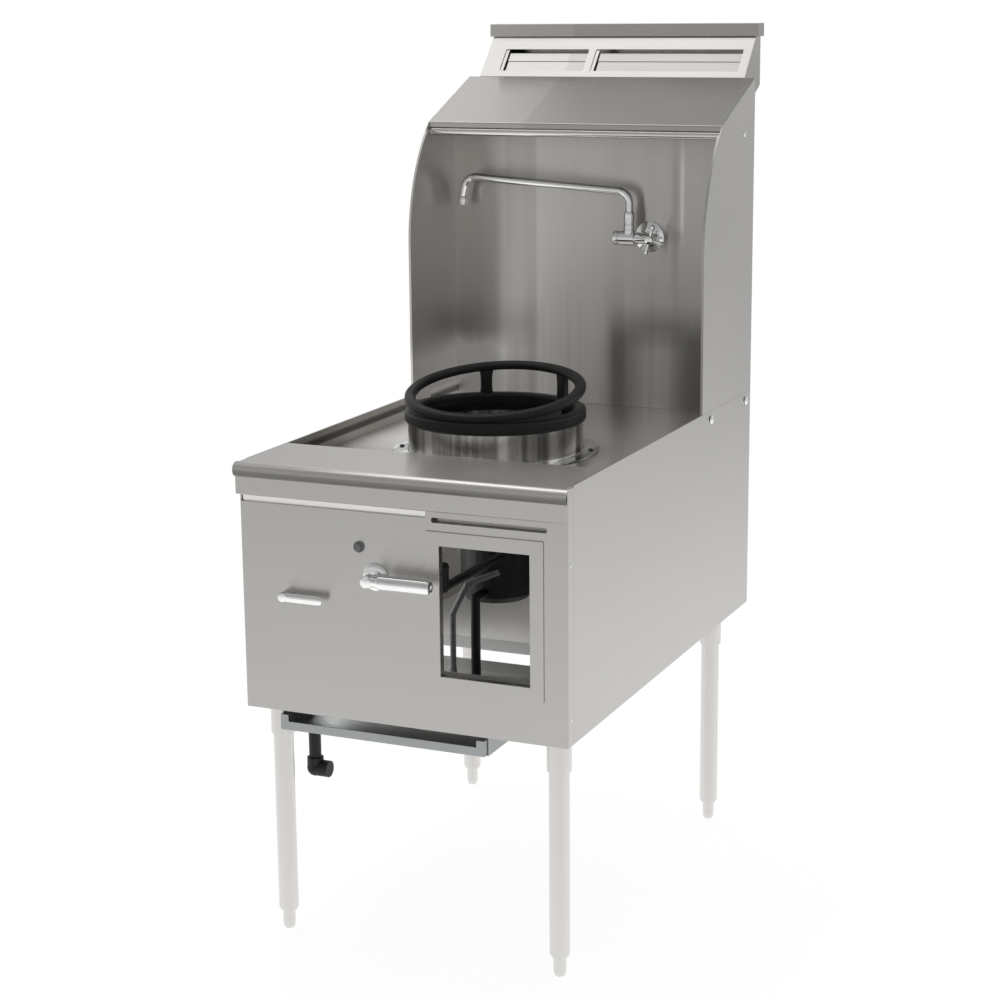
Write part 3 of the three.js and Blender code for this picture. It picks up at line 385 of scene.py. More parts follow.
def facing_right(profile, segments, place):
    """A profile turned about an axis that points to the right."""
    return moved(lathe(profile, segments), turned(place, pi / 2, "Y"))


def on_side(profile, segments, sign, y, z):
    """A profile turned about an axis that points out of a side panel."""
    return moved(lathe(profile, segments), turned((sign * SIDE, y, z), sign * pi / 2, "Y"))


def path_3d(points, radius, steps):
    """A path of 3-D points with its inner corners rounded."""
    spots = [Vector(p) for p in points]
    path = [spots[0]]
    for before, corner, after in zip(spots, spots[1:], spots[2:]):
        a = (before - corner).normalized()
        b = (after - corner).normalized()
        angle = a.angle(b)
        reach = radius / tan(angle / 2)
        centre = corner + (a + b).normalized() * (radius / sin(angle / 2))
        first = (corner + a * reach - centre).normalized()
        last = (corner + b * reach - centre).normalized()
        for i in range(steps + 1):
            path.append(centre + first.slerp(last, i / steps) * radius)
    return path + [spots[-1]]


def mesh_object(name, shells, scale=True):
    """One mesh of the shells, put in the row frame unless it stays in millimetres."""
    points, faces = [], []
    for shell_points, shell_faces in shells:
        base = len(points)
        points += [tuple(at(p)) if scale else p for p in shell_points]
        faces += [tuple(i + base for i in face) for face in shell_faces]
    mesh = bpy.data.meshes.new(name)
    mesh.from_pydata(points, [], faces)
    mesh.validate()
    return linked(name, mesh)


def combined(base, others, operation):
    """Joins to the base shell, or cuts from it, each of the others, and leaves it closed."""
    target = mesh_object("boolean_base", [base], scale=False)
    tools = [mesh_object("boolean_tool", [other], scale=False) for other in others]
    for tool in tools:
        step = target.modifiers.new("boolean", "BOOLEAN")
        step.operation = operation
        step.solver = "EXACT"
        step.object = tool
    clean = bmesh.new()
    clean.from_object(target, bpy.context.evaluated_depsgraph_get())
    bmesh.ops.remove_doubles(clean, verts=clean.verts, dist=WELD)
    bmesh.ops.dissolve_degenerate(clean, edges=clean.edges, dist=WELD)
    open_edges = [edge for edge in clean.edges if edge.is_boundary]
    bmesh.ops.holes_fill(clean, edges=open_edges, sides=0)
    clean.verts.index_update()
    points = [tuple(spot.co) for spot in clean.verts]
    faces = [tuple(spot.index for spot in face.verts) for face in clean.faces]
    clean.free()
    for obj in [target, *tools]:
        mesh = obj.data
        bpy.data.objects.remove(obj)
        bpy.data.meshes.remove(mesh)
    return points, faces


def cut(base, *tools):
    return combined(base, tools, "DIFFERENCE")


def fuse(base, *others):
    return combined(base, others, "UNION")


BEVEL_ANGLE = radians(40)
SHARP_ANGLE = radians(32)


def add_piece(name, shells, nodes, material, body="range", bevel=0.0):
    """A shown piece made of shells, that rides on a body and stands for CAD nodes."""
    finish, slot = material
    obj = mesh_object(name, shells)
    mesh = obj.data
    for polygon in mesh.polygons:
        polygon.use_smooth = True
    if bevel:
        step = obj.modifiers.new("edges", "BEVEL")
        step.width = bevel / 1000
        step.segments = 2
        step.limit_method = "ANGLE"
        step.angle_limit = BEVEL_ANGLE
    else:
        mesh.set_sharp_from_angle(angle=SHARP_ANGLE)
    step = obj.modifiers.new("normals", "WEIGHTED_NORMAL")
    step.keep_sharp = True
    mesh.materials.append(finish)
    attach(obj, body)
    if nodes:
        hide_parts(*nodes)


# ---- materials ----

class Nodes:
    """Short calls that add and feed the nodes of one material or world."""

    def __init__(self, owner, coordinates="Object"):
        self.tree = owner.node_tree
        self.place = self.add("TexCoord").outputs[coordinates]

    def feed(self, socket, value):
        """Sets a socket to a value, or links an output to it."""
        if isinstance(value, bpy.types.NodeSocket):
            self.tree.links.new(value, socket)
        else:
            socket.default_value = value

    def supply(self, node, **inputs):
        """Feeds a node's inputs by their names, with _ for each space."""
        for name, value in inputs.items():
            self.feed(node.inputs[name.replace("_", " ")], value)

    def add(self, kind, *sources, **inputs):
        """A new node, its inputs fed in order or by name."""
        node = self.tree.nodes.new(f"ShaderNode{kind}")
        for socket, source in zip(node.inputs, sources):
            self.feed(socket, source)
        self.supply(node, **inputs)
        return node

    def axis(self, name):
        return self.add("SeparateXYZ", self.place).outputs[name]

    def stretched(self, scale):
        """The place on the object, scaled alike or by axis."""
        if isinstance(scale, float):
            scale = (scale, scale, scale)
        return self.add("Mapping", Scale=scale, Vector=self.place).outputs["Vector"]

    def noise(self, scale, detail=3.0):
        node = self.add("TexNoise", Scale=1, Detail=detail, Roughness=0.55, Vector=self.stretched(scale))
        return node.outputs["Fac"]

    def ranged(self, value, low, high, source=(0.3, 0.7), smooth=False):
        """Maps a value from its source range to the range from low to high."""
        node = self.add("MapRange")
        if smooth:
            node.interpolation_type = "SMOOTHSTEP"
        self.supply(node, Value=value, From_Min=source[0], From_Max=source[1], To_Min=low, To_Max=high)
        return node.outputs["Result"]

    def math(self, operation, first, *others):
        """Works through the values in order."""
        for other in others:
            node = self.add("Math", first, other)
            node.operation = operation
            first = node.outputs["Value"]
        return first

    def together(self, operation, *marks):
        """Marks, each (value, low, high), ranged and then worked through in order."""
        return self.math(operation, *[self.ranged(*mark) for mark in marks])

    def ramp(self, value, stops, interpolation="EASE"):
        """A tone that follows a value through stops of (place, level)."""
        node = self.add("ValToRGB", value)
        node.color_ramp.interpolation = interpolation
        elements = node.color_ramp.elements
        while len(elements) < len(stops):
            elements.new(0.5)
        for element, (position, level) in zip(elements, stops):
            element.position = position
            element.color = (level, level, level, 1)
        return node.outputs["Color"]

    def mixed(self, factor, first, second, blend="MIX"):
        """One colour from two."""
        node = self.add("Mix")
        node.data_type = "RGBA"
        node.blend_type = blend
        self.supply(node, Factor=factor, A=first, B=second)
        return node.outputs["Result"]

    def window(self, axis, low, high, edge):
        """1 between two places on an axis, falling to 0 over the edge on both sides."""
        place = self.axis(axis)
        rise = self.ranged(place, 0.0, 1.0, (low - edge, low + edge))
        fall = self.ranged(place, 1.0, 0.0, (high - edge, high + edge))
        return self.math("MULTIPLY", rise, fall)

    def changed(self, tone, share, change):
        """The tone with a part of itself added, as far as the share goes."""
        return self.math("MULTIPLY", tone, self.math("ADD", 1.0, self.math("MULTIPLY", share, change)))

    def ray(self, kind):
        """1 for a ray of this kind, 0 for the others."""
        return self.add("LightPath").outputs[f"Is {kind} Ray"]


class Surface(Nodes):
    """The nodes of one new material."""

    def __init__(self, name):
        self.material = bpy.data.materials.new(name)
        self.material.use_nodes = True
        super().__init__(self.material)

    def finished(self, tone, colour, roughness, relief, **inputs):
        """The material in a colour times a tone; the relief is (height, strength, depth in metres)."""
        height, strength, depth = relief
        bump = self.add("Bump", Strength=strength, Distance=depth, Height=height).outputs["Normal"]
        tint = self.mixed(1, (*colour, 1), tone, "MULTIPLY")
        shader = self.tree.nodes["Principled BSDF"]
        self.supply(shader, Base_Color=tint, Roughness=roughness, Normal=bump, **inputs)
        return self.material


GRAIN = (7.0, 1100.0)             # marks a metre, along the grain and across it
SOFT_GRAIN = (0.5, 22.0)
# the upright streaks are painted reflection
PAINTED_STREAK_FADE = (0.92, 1.10)        # heights between which the upright streaks grow faint


def drawn(axis, scales):
    """Noise scales for marks that are drawn out along an axis."""
    along, beside = scales
    return [along if name == axis else beside for name in "XYZ"]


def brushed(name, colour, roughness, grain="X", across=(0, 0, 1), bands=(), painted_streaks=None, patches=()):
    """Brushed stainless: reflections are drawn out across the grain, which has faint marks of use.

    Each band is (axis, low, high, stops): a soft change of tone between two places on that axis.
    Painted streaks are upright soft streaks of painted reflection, (strength, number a metre), strongest low
    down.
    Each patch is (first window, second window, level), each window (axis, low, high, soft edge); a level
    above 1 is painted light, below 1 painted shade.
    """
    n = Surface(name)
    fine = n.noise(drawn(grain, GRAIN))
    cloud = n.noise(3.2, 2)
    streak = n.noise(drawn(grain, SOFT_GRAIN))
    tone = n.together("MULTIPLY", (fine, 0.995, 1.005), (cloud, 0.98, 1.02), (streak, 0.992, 1.008))
    # upright streaks of painted reflection, strongest low down
    if painted_streaks:
        strength, density = painted_streaks
        painted_streak = n.ranged(n.noise((density, 1.0, 0.7)), -strength, strength, (0.32, 0.68))
        tone = n.changed(tone, painted_streak, n.ranged(n.axis("Z"), 1.0, 0.15, PAINTED_STREAK_FADE))
    for axis, low, high, stops in bands:
        share = n.ranged(n.axis(axis), 0.0, 1.0, (low, high))
        tone = n.math("MULTIPLY", tone, n.ramp(share, stops))
    # patches of painted light and shade
    for first, second, level in patches:
        share = n.math("MULTIPLY", n.window(*first), n.window(*second))
        tone = n.changed(tone, share, level - 1)
    rough = n.together("ADD", (fine, roughness - 0.005, roughness + 0.005), (cloud, -0.02, 0.02))
    tangent = n.add("CombineXYZ", *across).outputs["Vector"]
    relief = (fine, 0.003, 0.0001)
    return n.finished(tone, colour, rough, relief, Metallic=1, Anisotropic=0.9, Tangent=tangent)


def polished(name, colour):
    """Chrome plate with faint water spots and polishing haze."""
    n = Surface(name)
    haze = n.noise(40.0, 4)
    spots = n.noise(160.0, 2)
    rough = n.together("ADD", (haze, 0.06, 0.12), (spots, 0.0, 0.02))
    return n.finished(n.ranged(haze, 0.95, 1.04), colour, rough, (haze, 0.04, 0.0002), Metallic=1)


def cast_iron(name, colour=(0.011, 0.011, 0.0105), roughness=0.42):
    """Seasoned casting: pebbled skin, dull patches and slightly worn high spots."""
    n = Surface(name)
    pebble = n.noise(420.0)
    patch = n.noise(26.0, 4)
    tone = n.together("MULTIPLY", (pebble, 0.8, 1.3), (patch, 0.8, 1.35))
    rough = n.together("ADD", (patch, roughness - 0.08, roughness + 0.1), (pebble, -0.05, 0.05))
    return n.finished(tone, colour, rough, (pebble, 0.3, 0.0005), Specular_IOR_Level=0.3)


def galvanised(name, colour, roughness):
    """Zinc-coated sheet with a faint spangle."""
    n = Surface(name)
    cells = n.add("TexVoronoi", Scale=1, Vector=n.stretched(110.0)).outputs["Distance"]
    cloud = n.noise(9.0)
    tone = n.together("MULTIPLY", (cells, 0.95, 1.05, (0.0, 0.9)), (cloud, 0.94, 1.05))
    rough = n.ranged(cells, roughness - 0.06, roughness + 0.08, (0.0, 0.9))
    return n.finished(tone, colour, rough, (cloud, 0.08, 0.0005), Metallic=0.85)


def mill_finish(name, colour, roughness, metallic):
    """Plain rolled sheet: pale, with soft upright rolling marks."""
    n = Surface(name)
    rolled = n.noise((90.0, 90.0, 1.5))
    fine = n.noise((900.0, 900.0, 20.0), 2)
    tone = n.together("MULTIPLY", (rolled, 0.97, 1.03), (fine, 0.985, 1.015))
    rough = n.ranged(rolled, roughness - 0.04, roughness + 0.04)
    return n.finished(tone, colour, rough, (fine, 0.02, 0.0001), Metallic=metallic)


def dull(name, colour, roughness, metallic=0.0):
    """Moulded plastic, coated pipe or sooty steel, with a fine uneven skin."""
    n = Surface(name)
    skin = n.noise(220.0)
    patch = n.noise(18.0, 2)
    tone = n.together("MULTIPLY", (skin, 0.88, 1.14), (patch, 0.88, 1.12))
    rough = n.ranged(skin, roughness - 0.07, roughness + 0.07)
    return n.finished(tone, colour, rough, (skin, 0.15, 0.0003), Metallic=metallic)


def stainless(name, *look, **marks):
    """A brushed finish, paired with the slot name stainless."""
    return brushed(name, *look, **marks), "stainless"


# Places below are in metres of the row frame, where the front panel's face is at FRONT_Y.

STEEL = (0.55, 0.537, 0.52)
# lighter copy of the steel, painted light, for the splash and the inside of the left hood
PAINTED_LIGHT_STEEL = (0.72, 0.70, 0.675)
# darker copy of the steel, painted shade, for the canopy, louvre and cap
PAINTED_SHADE_STEEL = (0.47, 0.457, 0.44)
ALONG_Y = (0, 1, 0)
LEDGE_BAND = ("Y", FRONT_Y + 0.150, FRONT_Y + 0.180, ((0.0, 0.86), (1.0, 1.0)))
# painted shade: a dark band along the nose's lower roll, above the apron
NOSE_PAINTED_SHADE = ("Z", 0.836, 0.858, ((0.0, 1.0), (0.14, 0.36), (0.3, 0.22), (0.5, 0.3), (0.8, 1.0)))
DECK_LEFT = ("X", -0.40, -0.10, 0.03)
# painted light and shade on the deck: apron darker, nose top lighter, left of the sunken floor darker near
# the step and a painted reflection lighter behind it
DECK_PAINTED_LIGHT = (
    (("Y", FRONT_Y - 0.030, FRONT_Y - 0.002, 0.001), ("Z", 0.80, 0.839, 0.003), 0.83),
    (("Y", FRONT_Y - 0.030, FRONT_Y - 0.001, 0.001), ("Z", 0.855, 0.90, 0.003), 1.12),
    (DECK_LEFT, ("Y", FRONT_Y + 0.174, FRONT_Y + 0.95, 0.002), 0.72),
    (DECK_LEFT, ("Y", FRONT_Y + 0.34, FRONT_Y + 1.20, 0.07), 1.8),
)
# painted shade: the sleeve inside the window opening at half tone
FRAME_PAINTED_SHADE = ("Y", FRONT_Y - 0.0004, FRONT_Y + 0.001, ((0.0, 1.0), (1.0, 0.5)))
# painted light: the left third of the canopy, louvre and cap lighter
CANOPY_PAINTED_LIGHT = ("X", -0.3, 0.3, ((0.0, 1.16), (0.325, 1.12), (0.34, 1.0), (1.0, 0.97)))
# painted highlight: the collar's flange lighter than the tube above it
FLANGE_PAINTED_HIGHLIGHT = ("Z", 0.831, 0.834, ((0.0, 1.0), (1.0, 0.72)))
# painted reflection: soft upright bands of tone across the splash
SPLASH_REFLECTION_STOPS = ((0.0, 0.92), (0.18, 0.92), (0.2, 0.8), (0.295, 0.74), (0.303, 0.88), (1.0, 0.84))
SPLASH_PAINTED_REFLECTION = ("X", -0.3, 0.3, SPLASH_REFLECTION_STOPS)
LOW_DOWN = ("Z", 0.955, 1.01, 0.03)
AT_FOOT = ("Z", 0.80, 0.945, 0.02)
# painted reflections on the splash: dark and light patches low down and two thin upright streaks higher up
SPLASH_PAINTED_REFLECTIONS = (
    # painted dark reflection of the ring
    (("X", 0.036, 0.40, 0.008), ("Z", 0.80, 1.00, 0.035), 0.52),      # soft dark shape behind the ring
    (("X", 0.090, 0.180, 0.025), ("Z", 0.80, 0.965, 0.025), 2.3),
    (("X", -0.40, -0.12, 0.02), LOW_DOWN, 0.8),
    (("X", -0.40, -0.20, 0.03), AT_FOOT, 1.9),
    (("X", -0.21, -0.12, 0.02), ("Z", 0.80, 0.955, 0.03), 1.15),
    (("X", 0.181, 0.187, 0.003), ("Z", 1.17, 1.33, 0.03), 1.45),
    (("X", 0.164, 0.176, 0.005), ("Z", 1.08, 1.34, 0.05), 0.8),
)
WHOLE_DEPTH = ("Y", -1.0, 1.0, 0.1)
# painted light and shade on the inside of the left hood side: darker low down, lighter at its foot
HOOD_PAINTED_LIGHT = ((WHOLE_DEPTH, LOW_DOWN, 0.82), (WHOLE_DEPTH, AT_FOOT, 1.25))

front_steel = stainless("front_steel", STEEL, 0.28)
side_steel = stainless("side_steel", STEEL, 0.28, "Y")
inward_steel = stainless("inward_steel", PAINTED_LIGHT_STEEL, 0.4, "Y", patches=HOOD_PAINTED_LIGHT)
deck_look = {"bands": [LEDGE_BAND, NOSE_PAINTED_SHADE], "patches": DECK_PAINTED_LIGHT}
deck_steel = stainless("deck_steel", (0.76, 0.74, 0.715), 0.24, "X", ALONG_Y, **deck_look)
# the splash's painted reflections: bands, upright streaks and patches
splash_look = {"bands": [SPLASH_PAINTED_REFLECTION], "painted_streaks": (0.17, 24.0), "patches": SPLASH_PAINTED_REFLECTIONS}
splash_steel = stainless("splash_steel", PAINTED_LIGHT_STEEL, 0.3, **splash_look)
hood_steel = stainless("hood_steel", STEEL, 0.24, "X", ALONG_Y)
canopy_steel = stainless("canopy_steel", PAINTED_SHADE_STEEL, 0.24, "X", ALONG_Y, bands=[CANOPY_PAINTED_LIGHT])
frame_steel = stainless("frame_steel", STEEL, 0.28, bands=[FRAME_PAINTED_SHADE])
# lighter copy of the steel, painted light, for the fold under the nose
fold_steel = stainless("fold_steel", (0.88, 0.865, 0.84), 0.26)
lip_steel = stainless("lip_steel", (0.78, 0.765, 0.745), 0.14)
leg_steel = (brushed("leg_steel", (0.8, 0.785, 0.765), 0.34, "Z"), "leg_steel")
# painted reflections on the collar: upright streaks and a lighter flange
collar_look = {"bands": [FLANGE_PAINTED_HIGHLIGHT], "painted_streaks": (0.8, 42.0)}
collar_steel = (brushed("collar_steel", (0.9, 0.885, 0.86), 0.16, "Z", **collar_look), "polished")
chrome = (polished("chrome", (0.94, 0.94, 0.935)), "polished")
iron = (cast_iron("cast_iron"), "cast_iron")
grey_plastic = (dull("grey_plastic", (0.25, 0.245, 0.245), 0.42), "grey_plastic")
dark_bolt = (dull("dark_bolt", (0.09, 0.088, 0.085), 0.35, 0.8), "polished")
inner_steel = mill_finish("inner_steel", (0.74, 0.73, 0.715), 0.42, 0.25)
back_steel = brushed("back_steel", STEEL, 0.34)
# upright streaks of painted reflection on the chamber
chamber_steel = brushed("chamber_steel", (0.85, 0.84, 0.825), 0.3, "Z", painted_streaks=(0.85, 60.0))
burner_iron = cast_iron("burner_iron", (0.03, 0.03, 0.03), 0.6)
zinc = galvanised("zinc", (0.42, 0.435, 0.437), 0.42)
tube_grey = dull("tube_grey", (0.3, 0.305, 0.31), 0.5)
black_pipe = dull("black_pipe", (0.006, 0.006, 0.006), 0.55)
brass = dull("brass", (0.36, 0.26, 0.1), 0.35, 0.9)

# ---- cabinet sheets ----


def widened(border):
    """The window's outline with a border round it."""
    left, right, low, high = WINDOW
    return rectangle(left - border, right + border, low - border, high + border)


def front_panel():
    """One sheet folded round both sides, notched at the left of its top edge where the bent-back fold sits,
    with a baffle behind the slot.
    """
    top = RIM - SHEET - SEAT
    path = [(-SIDE, FRONT_RETURN), (-SIDE, 0), (SIDE, 0), (SIDE, FRONT_RETURN)]
    skin = prism(folded(path), "Z", BOTTOM, top)
    window = prism(widened(SHEET + 0.5), "Y", *THROUGH_PANEL)
    slot = prism(rounded_loop(rectangle(*SLOT), 3.5), "Y", *THROUGH_PANEL)
    notch = prism(rectangle(-SIDE + 3, STEP_RIGHT - SHEET, STEP_BOTTOM, top + 5), "Y", -5, 2 * SHEET)
    holes = [circle((LEVER_X, LEVER_Z), SPINDLE_HOLE), circle((PILOT_X, PILOT_Z), SPINDLE_HOLE)]
    holes.append(circle((BUTTON_X, BUTTON_Z), BUTTON_HOLE))
    holes = [prism(hole, "Y", *THROUGH_PANEL) for hole in holes]
    skin = cut(skin, window, slot, notch, *holes)
    low, high = SLOT[2:]
    baffle_path = [(SHEET / 2, low - 5), (SHEET / 2, low), (SLOT_BAFFLE, low), (SLOT_BAFFLE, high)]
    baffle = prism(folded(baffle_path, -SHEET / 2, 1.0), "X", SLOT[0] - 10, SLOT[1] + 10)
    return [skin, baffle]


def panel_fold():
    """Left part of the front panel's top edge, bent back under the nose."""
    top = RIM - SHEET - SEAT
    step = [(0.2, STEP_BOTTOM - 6), (0, STEP_BOTTOM - 2), (3.6, STEP_BOTTOM)]
    step += [(2.6, STEP_TOP + 2), (STEP_DEPTH, top)]
    return [prism(folded(step, -SHEET, 1.2), "X", -SIDE + 1, STEP_RIGHT)]


def window_frame():
    """Flat border in front of the panel, with a sleeve that lines the cut-out."""
    face = prism(rounded_loop(widened(FRAME_BORDER), 1.5), "Y", -(PLATE + SEAT), -SEAT)
    sleeve = prism(widened(SHEET), "Y", -SEAT - 1, 12)
    opening = prism(widened(0), "Y", -10, 20)
    return [cut(fuse(face, sleeve), opening)]


def side_panel(sign):
    """Flat skin with a flange turned in above the bottom members."""
    outline = rounded_loop(rectangle(FRONT_RETURN + SEAT, DEPTH, BOTTOM, RIM), 0.8)
    skin = prism(outline, "X", sign * SIDE, sign * SIDE_INNER)
    x = sorted((sign * (SIDE_INNER - SIDE_FLANGE), sign * (SIDE_INNER + SHEET / 2)))
    low = BOTTOM + PLATE + SEAT
    flange = prism(rectangle(*x, low, low + SHEET), "Y", FRONT_RETURN + 1, DEPTH - SHEET - SEAT)
    return [fuse(skin, flange)]


def cooktop_deck():
    """Nose, ledge, step and sunken floor from one sheet, walls at both sides."""
    nose_y = NOSE_RADIUS - NOSE_REACH
    nose_z = RIM - NOSE_RADIUS
    meets_apron = 360 - degrees(acos((-APRON_SETBACK - nose_y) / NOSE_RADIUS))
    face = -APRON_SETBACK
    nose = [(-1.8, APRON_BOTTOM), (face + 1.5, APRON_BOTTOM), (face, APRON_BOTTOM + 1.5)]
    nose += arc((nose_y, nose_z), NOSE_RADIUS, meets_apron, 90, 28)
    nose.append((-SEAT, RIM))
    nose_sheet = prism(sheet(nose), "X", -NOSE_HALF_WIDTH, NOSE_HALF_WIDTH)
    rear = SPLASH_Y + 2 * SHEET + SEAT
    run = [(-SEAT, RIM), (LEDGE_DEPTH, RIM), (LEDGE_DEPTH, DECK_FLOOR), (rear, DECK_FLOOR), (rear, RIM)]
    basin = prism(folded(run, -SHEET, 3.0), "X", -INSIDE, INSIDE)
    hole = prism(circle((0, BURNER_Y), DECK_HOLE, 96), "Z", DECK_FLOOR - 10, DECK_FLOOR + 10)
    walls = []
    for sign in (-1, 1):
        x = sorted((sign * (INSIDE - SHEET), sign * INSIDE))
        y = (LEDGE_DEPTH + SEAT, rear - 2 * SHEET)
        walls.append(prism(rectangle(*x, *y), "Z", DECK_FLOOR + 0.05, RIM - 0.05))
    return [nose_sheet, cut(basin, hole), *walls]


add_piece("front_panel_sheet", front_panel(), ["front_panel"], front_steel)
add_piece("front_panel_fold", panel_fold(), ["front_panel"], fold_steel)
add_piece("window_frame_sheet", window_frame(), ["window_frame"], frame_steel, bevel=0.9)
for side, sign in SIDES:
    add_piece(f"{side}_side_sheet", side_panel(sign), [f"{side}_side_panel"], side_steel)
add_piece("deck_sheet", cooktop_deck(), ["cooktop_deck"], deck_steel)

# ---- wok opening ----


def collar():
    """Rolled tube with a flat flange welded round its foot."""
    bore = COLLAR_RADIUS - PLATE
    flange_top = COLLAR_BOTTOM + PLATE
    rim = COLLAR_FLANGE - 0.8
    foot = [(bore, COLLAR_BOTTOM), (rim, COLLAR_BOTTOM), (COLLAR_FLANGE, COLLAR_BOTTOM + 0.8)]
    foot += [(COLLAR_FLANGE, flange_top - 0.8), (rim, flange_top)]
    weld = arc((COLLAR_RADIUS + 3, flange_top + 3), 3, 270, 180, 5)
    top = [(COLLAR_RADIUS, COLLAR_TOP - 0.7), (COLLAR_RADIUS - 0.7, COLLAR_TOP)]
    top += [(bore + 0.7, COLLAR_TOP), (bore, COLLAR_TOP - 0.7)]
    return [upright(foot + weld + top, 160, 0, BURNER_Y)]


RING_SEGMENTS = 144
RING_MIDDLE = (RING_OUTER + RIM_INNER) / 2
WALL_LOW = RING_BOTTOM + RING_HEIGHT / 2
POST_LEVELS = 9
POST_DEPTH, POST_WIDTH, POST_FLARE = 14, 21, 0.55
TILTED = turned((0, 0, RIM_CENTRE), radians(RIM_TILT), "X")


def cast_hoop(inner, outer, low, high, radius):
    """A ring with its four edges rounded."""
    return lathe(rounded_loop(rectangle(inner, outer, low, high), radius), RING_SEGMENTS)


def wok_ring():
    """Base ring with a spigot in the collar, and a tilted rim on two posts and a front wall."""
    spigot_outer = COLLAR_RADIUS - PLATE - 0.5
    base = cast_hoop(RING_INNER, RING_OUTER, RING_BOTTOM, RING_BOTTOM + RING_HEIGHT, 5.0)
    spigot = cast_hoop(spigot_outer - 5, spigot_outer, RING_BOTTOM - 12, RING_BOTTOM + 6, 1.0)
    half = RIM_THICK / 2
    rim = moved(cast_hoop(RIM_INNER, RING_OUTER, -half, half, 5.5), TILTED)
    posts = []
    for angle in POST_ANGLES:
        rise = RING_MIDDLE * sin(radians(angle)) * sin(radians(RIM_TILT))
        post = ring_post(WALL_LOW, RIM_CENTRE + rise)
        posts.append(moved(post, Matrix.Rotation(radians(angle), 4, "Z")))
    whole = fuse(base, spigot, rim, ring_front_wall(), *posts)
    return [moved(whole, turned((0, BURNER_Y, 0)))]


def ring_front_wall():
    """Wall that closes the gap between base and rim at the front, up to the middle of the rim."""
    half = FRONT_WALL_WIDTH / 2
    outline = rectangle(RING_MIDDLE - half, RING_MIDDLE + half, WALL_LOW, RIM_CENTRE)
    tube = lathe(outline, RING_SEGMENTS)
    reach = 2 * RING_OUTER
    end = -RING_MIDDLE * sin(radians(FRONT_WALL_ANGLE))
    above = prism(rectangle(-reach, reach, -reach, reach), "Z", 0, reach)
    behind = prism(rectangle(-reach, reach, end, reach), "Z", 0, RIM_CENTRE + reach)
    return cut(tube, moved(above, TILTED), behind)


def ring_post(bottom, top):
    """An upright whose ends flare into the rings."""
    points = []
    section = rounded_loop(rectangle(-0.5, 0.5, -0.5, 0.5), 0.22)
    for i in range(POST_LEVELS):
        share = i / (POST_LEVELS - 1)
        flare = 1 + POST_FLARE * abs(2 * share - 1) ** 3
        z = bottom + (top - bottom) * share
        points += [(RING_MIDDLE + a * POST_DEPTH, b * POST_WIDTH * flare, z) for a, b in section]
    return stacked(points, len(section))


add_piece("collar_tube", collar(), ["chimney_collar"], collar_steel)
add_piece("wok_ring_casting", wok_ring(), ["wok_ring"], iron, "wok_ring")

# ---- splash, hood and flue ----

CANOPY_SLOPE = (HOOD_TOP - SHOULDER_Z) / (DEPTH - SHOULDER_Y)


def canopy_top(y):
    return SHOULDER_Z + (y - SHOULDER_Y) * CANOPY_SLOPE


def hood_edge(inset=0.0):
    """Front edge of a hood side: upright, then an arc that leans back to the shoulder."""
    run = SHOULDER_Y - HOOD_FRONT
    rise = SHOULDER_Z - HOOD_CURVE_START
    radius = (run * run + rise * rise) / (2 * run)
    swing = degrees(asin(rise / radius))
    centre = (HOOD_FRONT + radius, HOOD_CURVE_START)
    curve = arc(centre, radius - inset, 180, 180 - swing, 36)
    return [(HOOD_FRONT + inset, RIM + SEAT), *curve]


def hood_side(sign):
    """Skin with a rounded front edge that turns in as a hem, and two fixing tabs."""
    outline = [(DEPTH, RIM + SEAT), (DEPTH, HOOD_TOP), *hood_edge()[::-1]]
    skin = prism(outline, "X", sign * SIDE, sign * SIDE_INNER)
    edge = hood_edge(HEM_CLEAR)[:-3]
    edge[0] = (edge[0][0], edge[0][1] + HEM_CLEAR)
    hem_x = (sign * (SIDE_INNER - HOOD_HEM), sign * (SIDE - SHEET / 2))
    hem = prism(sheet(edge), "X", *hem_x)
    tab_x = sorted((sign * (INSIDE - 2 * SHEET - SEAT), sign * (INSIDE - SHEET - SEAT)))
    ear_x = sorted((sign * (INSIDE - 1.5 * SHEET - SEAT), sign * (SIDE - SHEET / 2)))
    half, low, high = HOOD_TAB
    tabs = []
    for _, y in HOOD_BOLTS:
        tab = prism(rectangle(*tab_x, y - half, y + half), "Z", low, high)
        ear = prism(rectangle(*ear_x, y - half + 1, y + half - 1), "Z", RIM + SEAT + 1, high - 1)
        tabs.append(fuse(tab, ear))
    return [fuse(skin, hem, *tabs)]


def splash():
    """Sheet between the hood sides, narrower where it stands in the deck's basin."""
    top = canopy_top(SPLASH_Y) - SHEET * hypot(1, CANOPY_SLOPE) - SEAT
    upper = prism(rectangle(-SIDE_INNER, SIDE_INNER, RIM + SEAT, top), "Y", SPLASH_Y, SPLASH_Y + SHEET)
    narrow = INSIDE - SHEET - SEAT
    lower = prism(rectangle(-narrow, narrow, DECK_FLOOR + SEAT, RIM + 2), "Y", SPLASH_Y, SPLASH_Y + SHEET)
    return [fuse(upper, lower)]


def canopy():
    """Sloping sheet with its front edge folded down."""
    front = SHOULDER_Y + SHEET
    rear = DEPTH - SHEET
    top = canopy_top(front)
    path = [(rear, canopy_top(rear)), (front, top), (front, top - CANOPY_FOLD)]
    return [prism(folded(path, SHEET, 4.0), "X", -INSIDE, INSIDE)]


def lip():
    """Round bar under the canopy's folded front edge."""
    y = SHOULDER_Y + LIP_RADIUS
    z = canopy_top(SHOULDER_Y + SHEET) - CANOPY_FOLD - SEAT - LIP_RADIUS
    end = 2 * INSIDE
    face = LIP_RADIUS - 0.8
    profile = [(0, 0), (face, 0), (LIP_RADIUS, 0.8), (LIP_RADIUS, end - 0.8), (face, end), (0, end)]
    return [facing_right(profile, 40, (-INSIDE, y, z))]


RISER_LEAN = (RISER_TOP_FRONT - RISER_FOOT) / (RISER_TOP - HOOD_TOP)


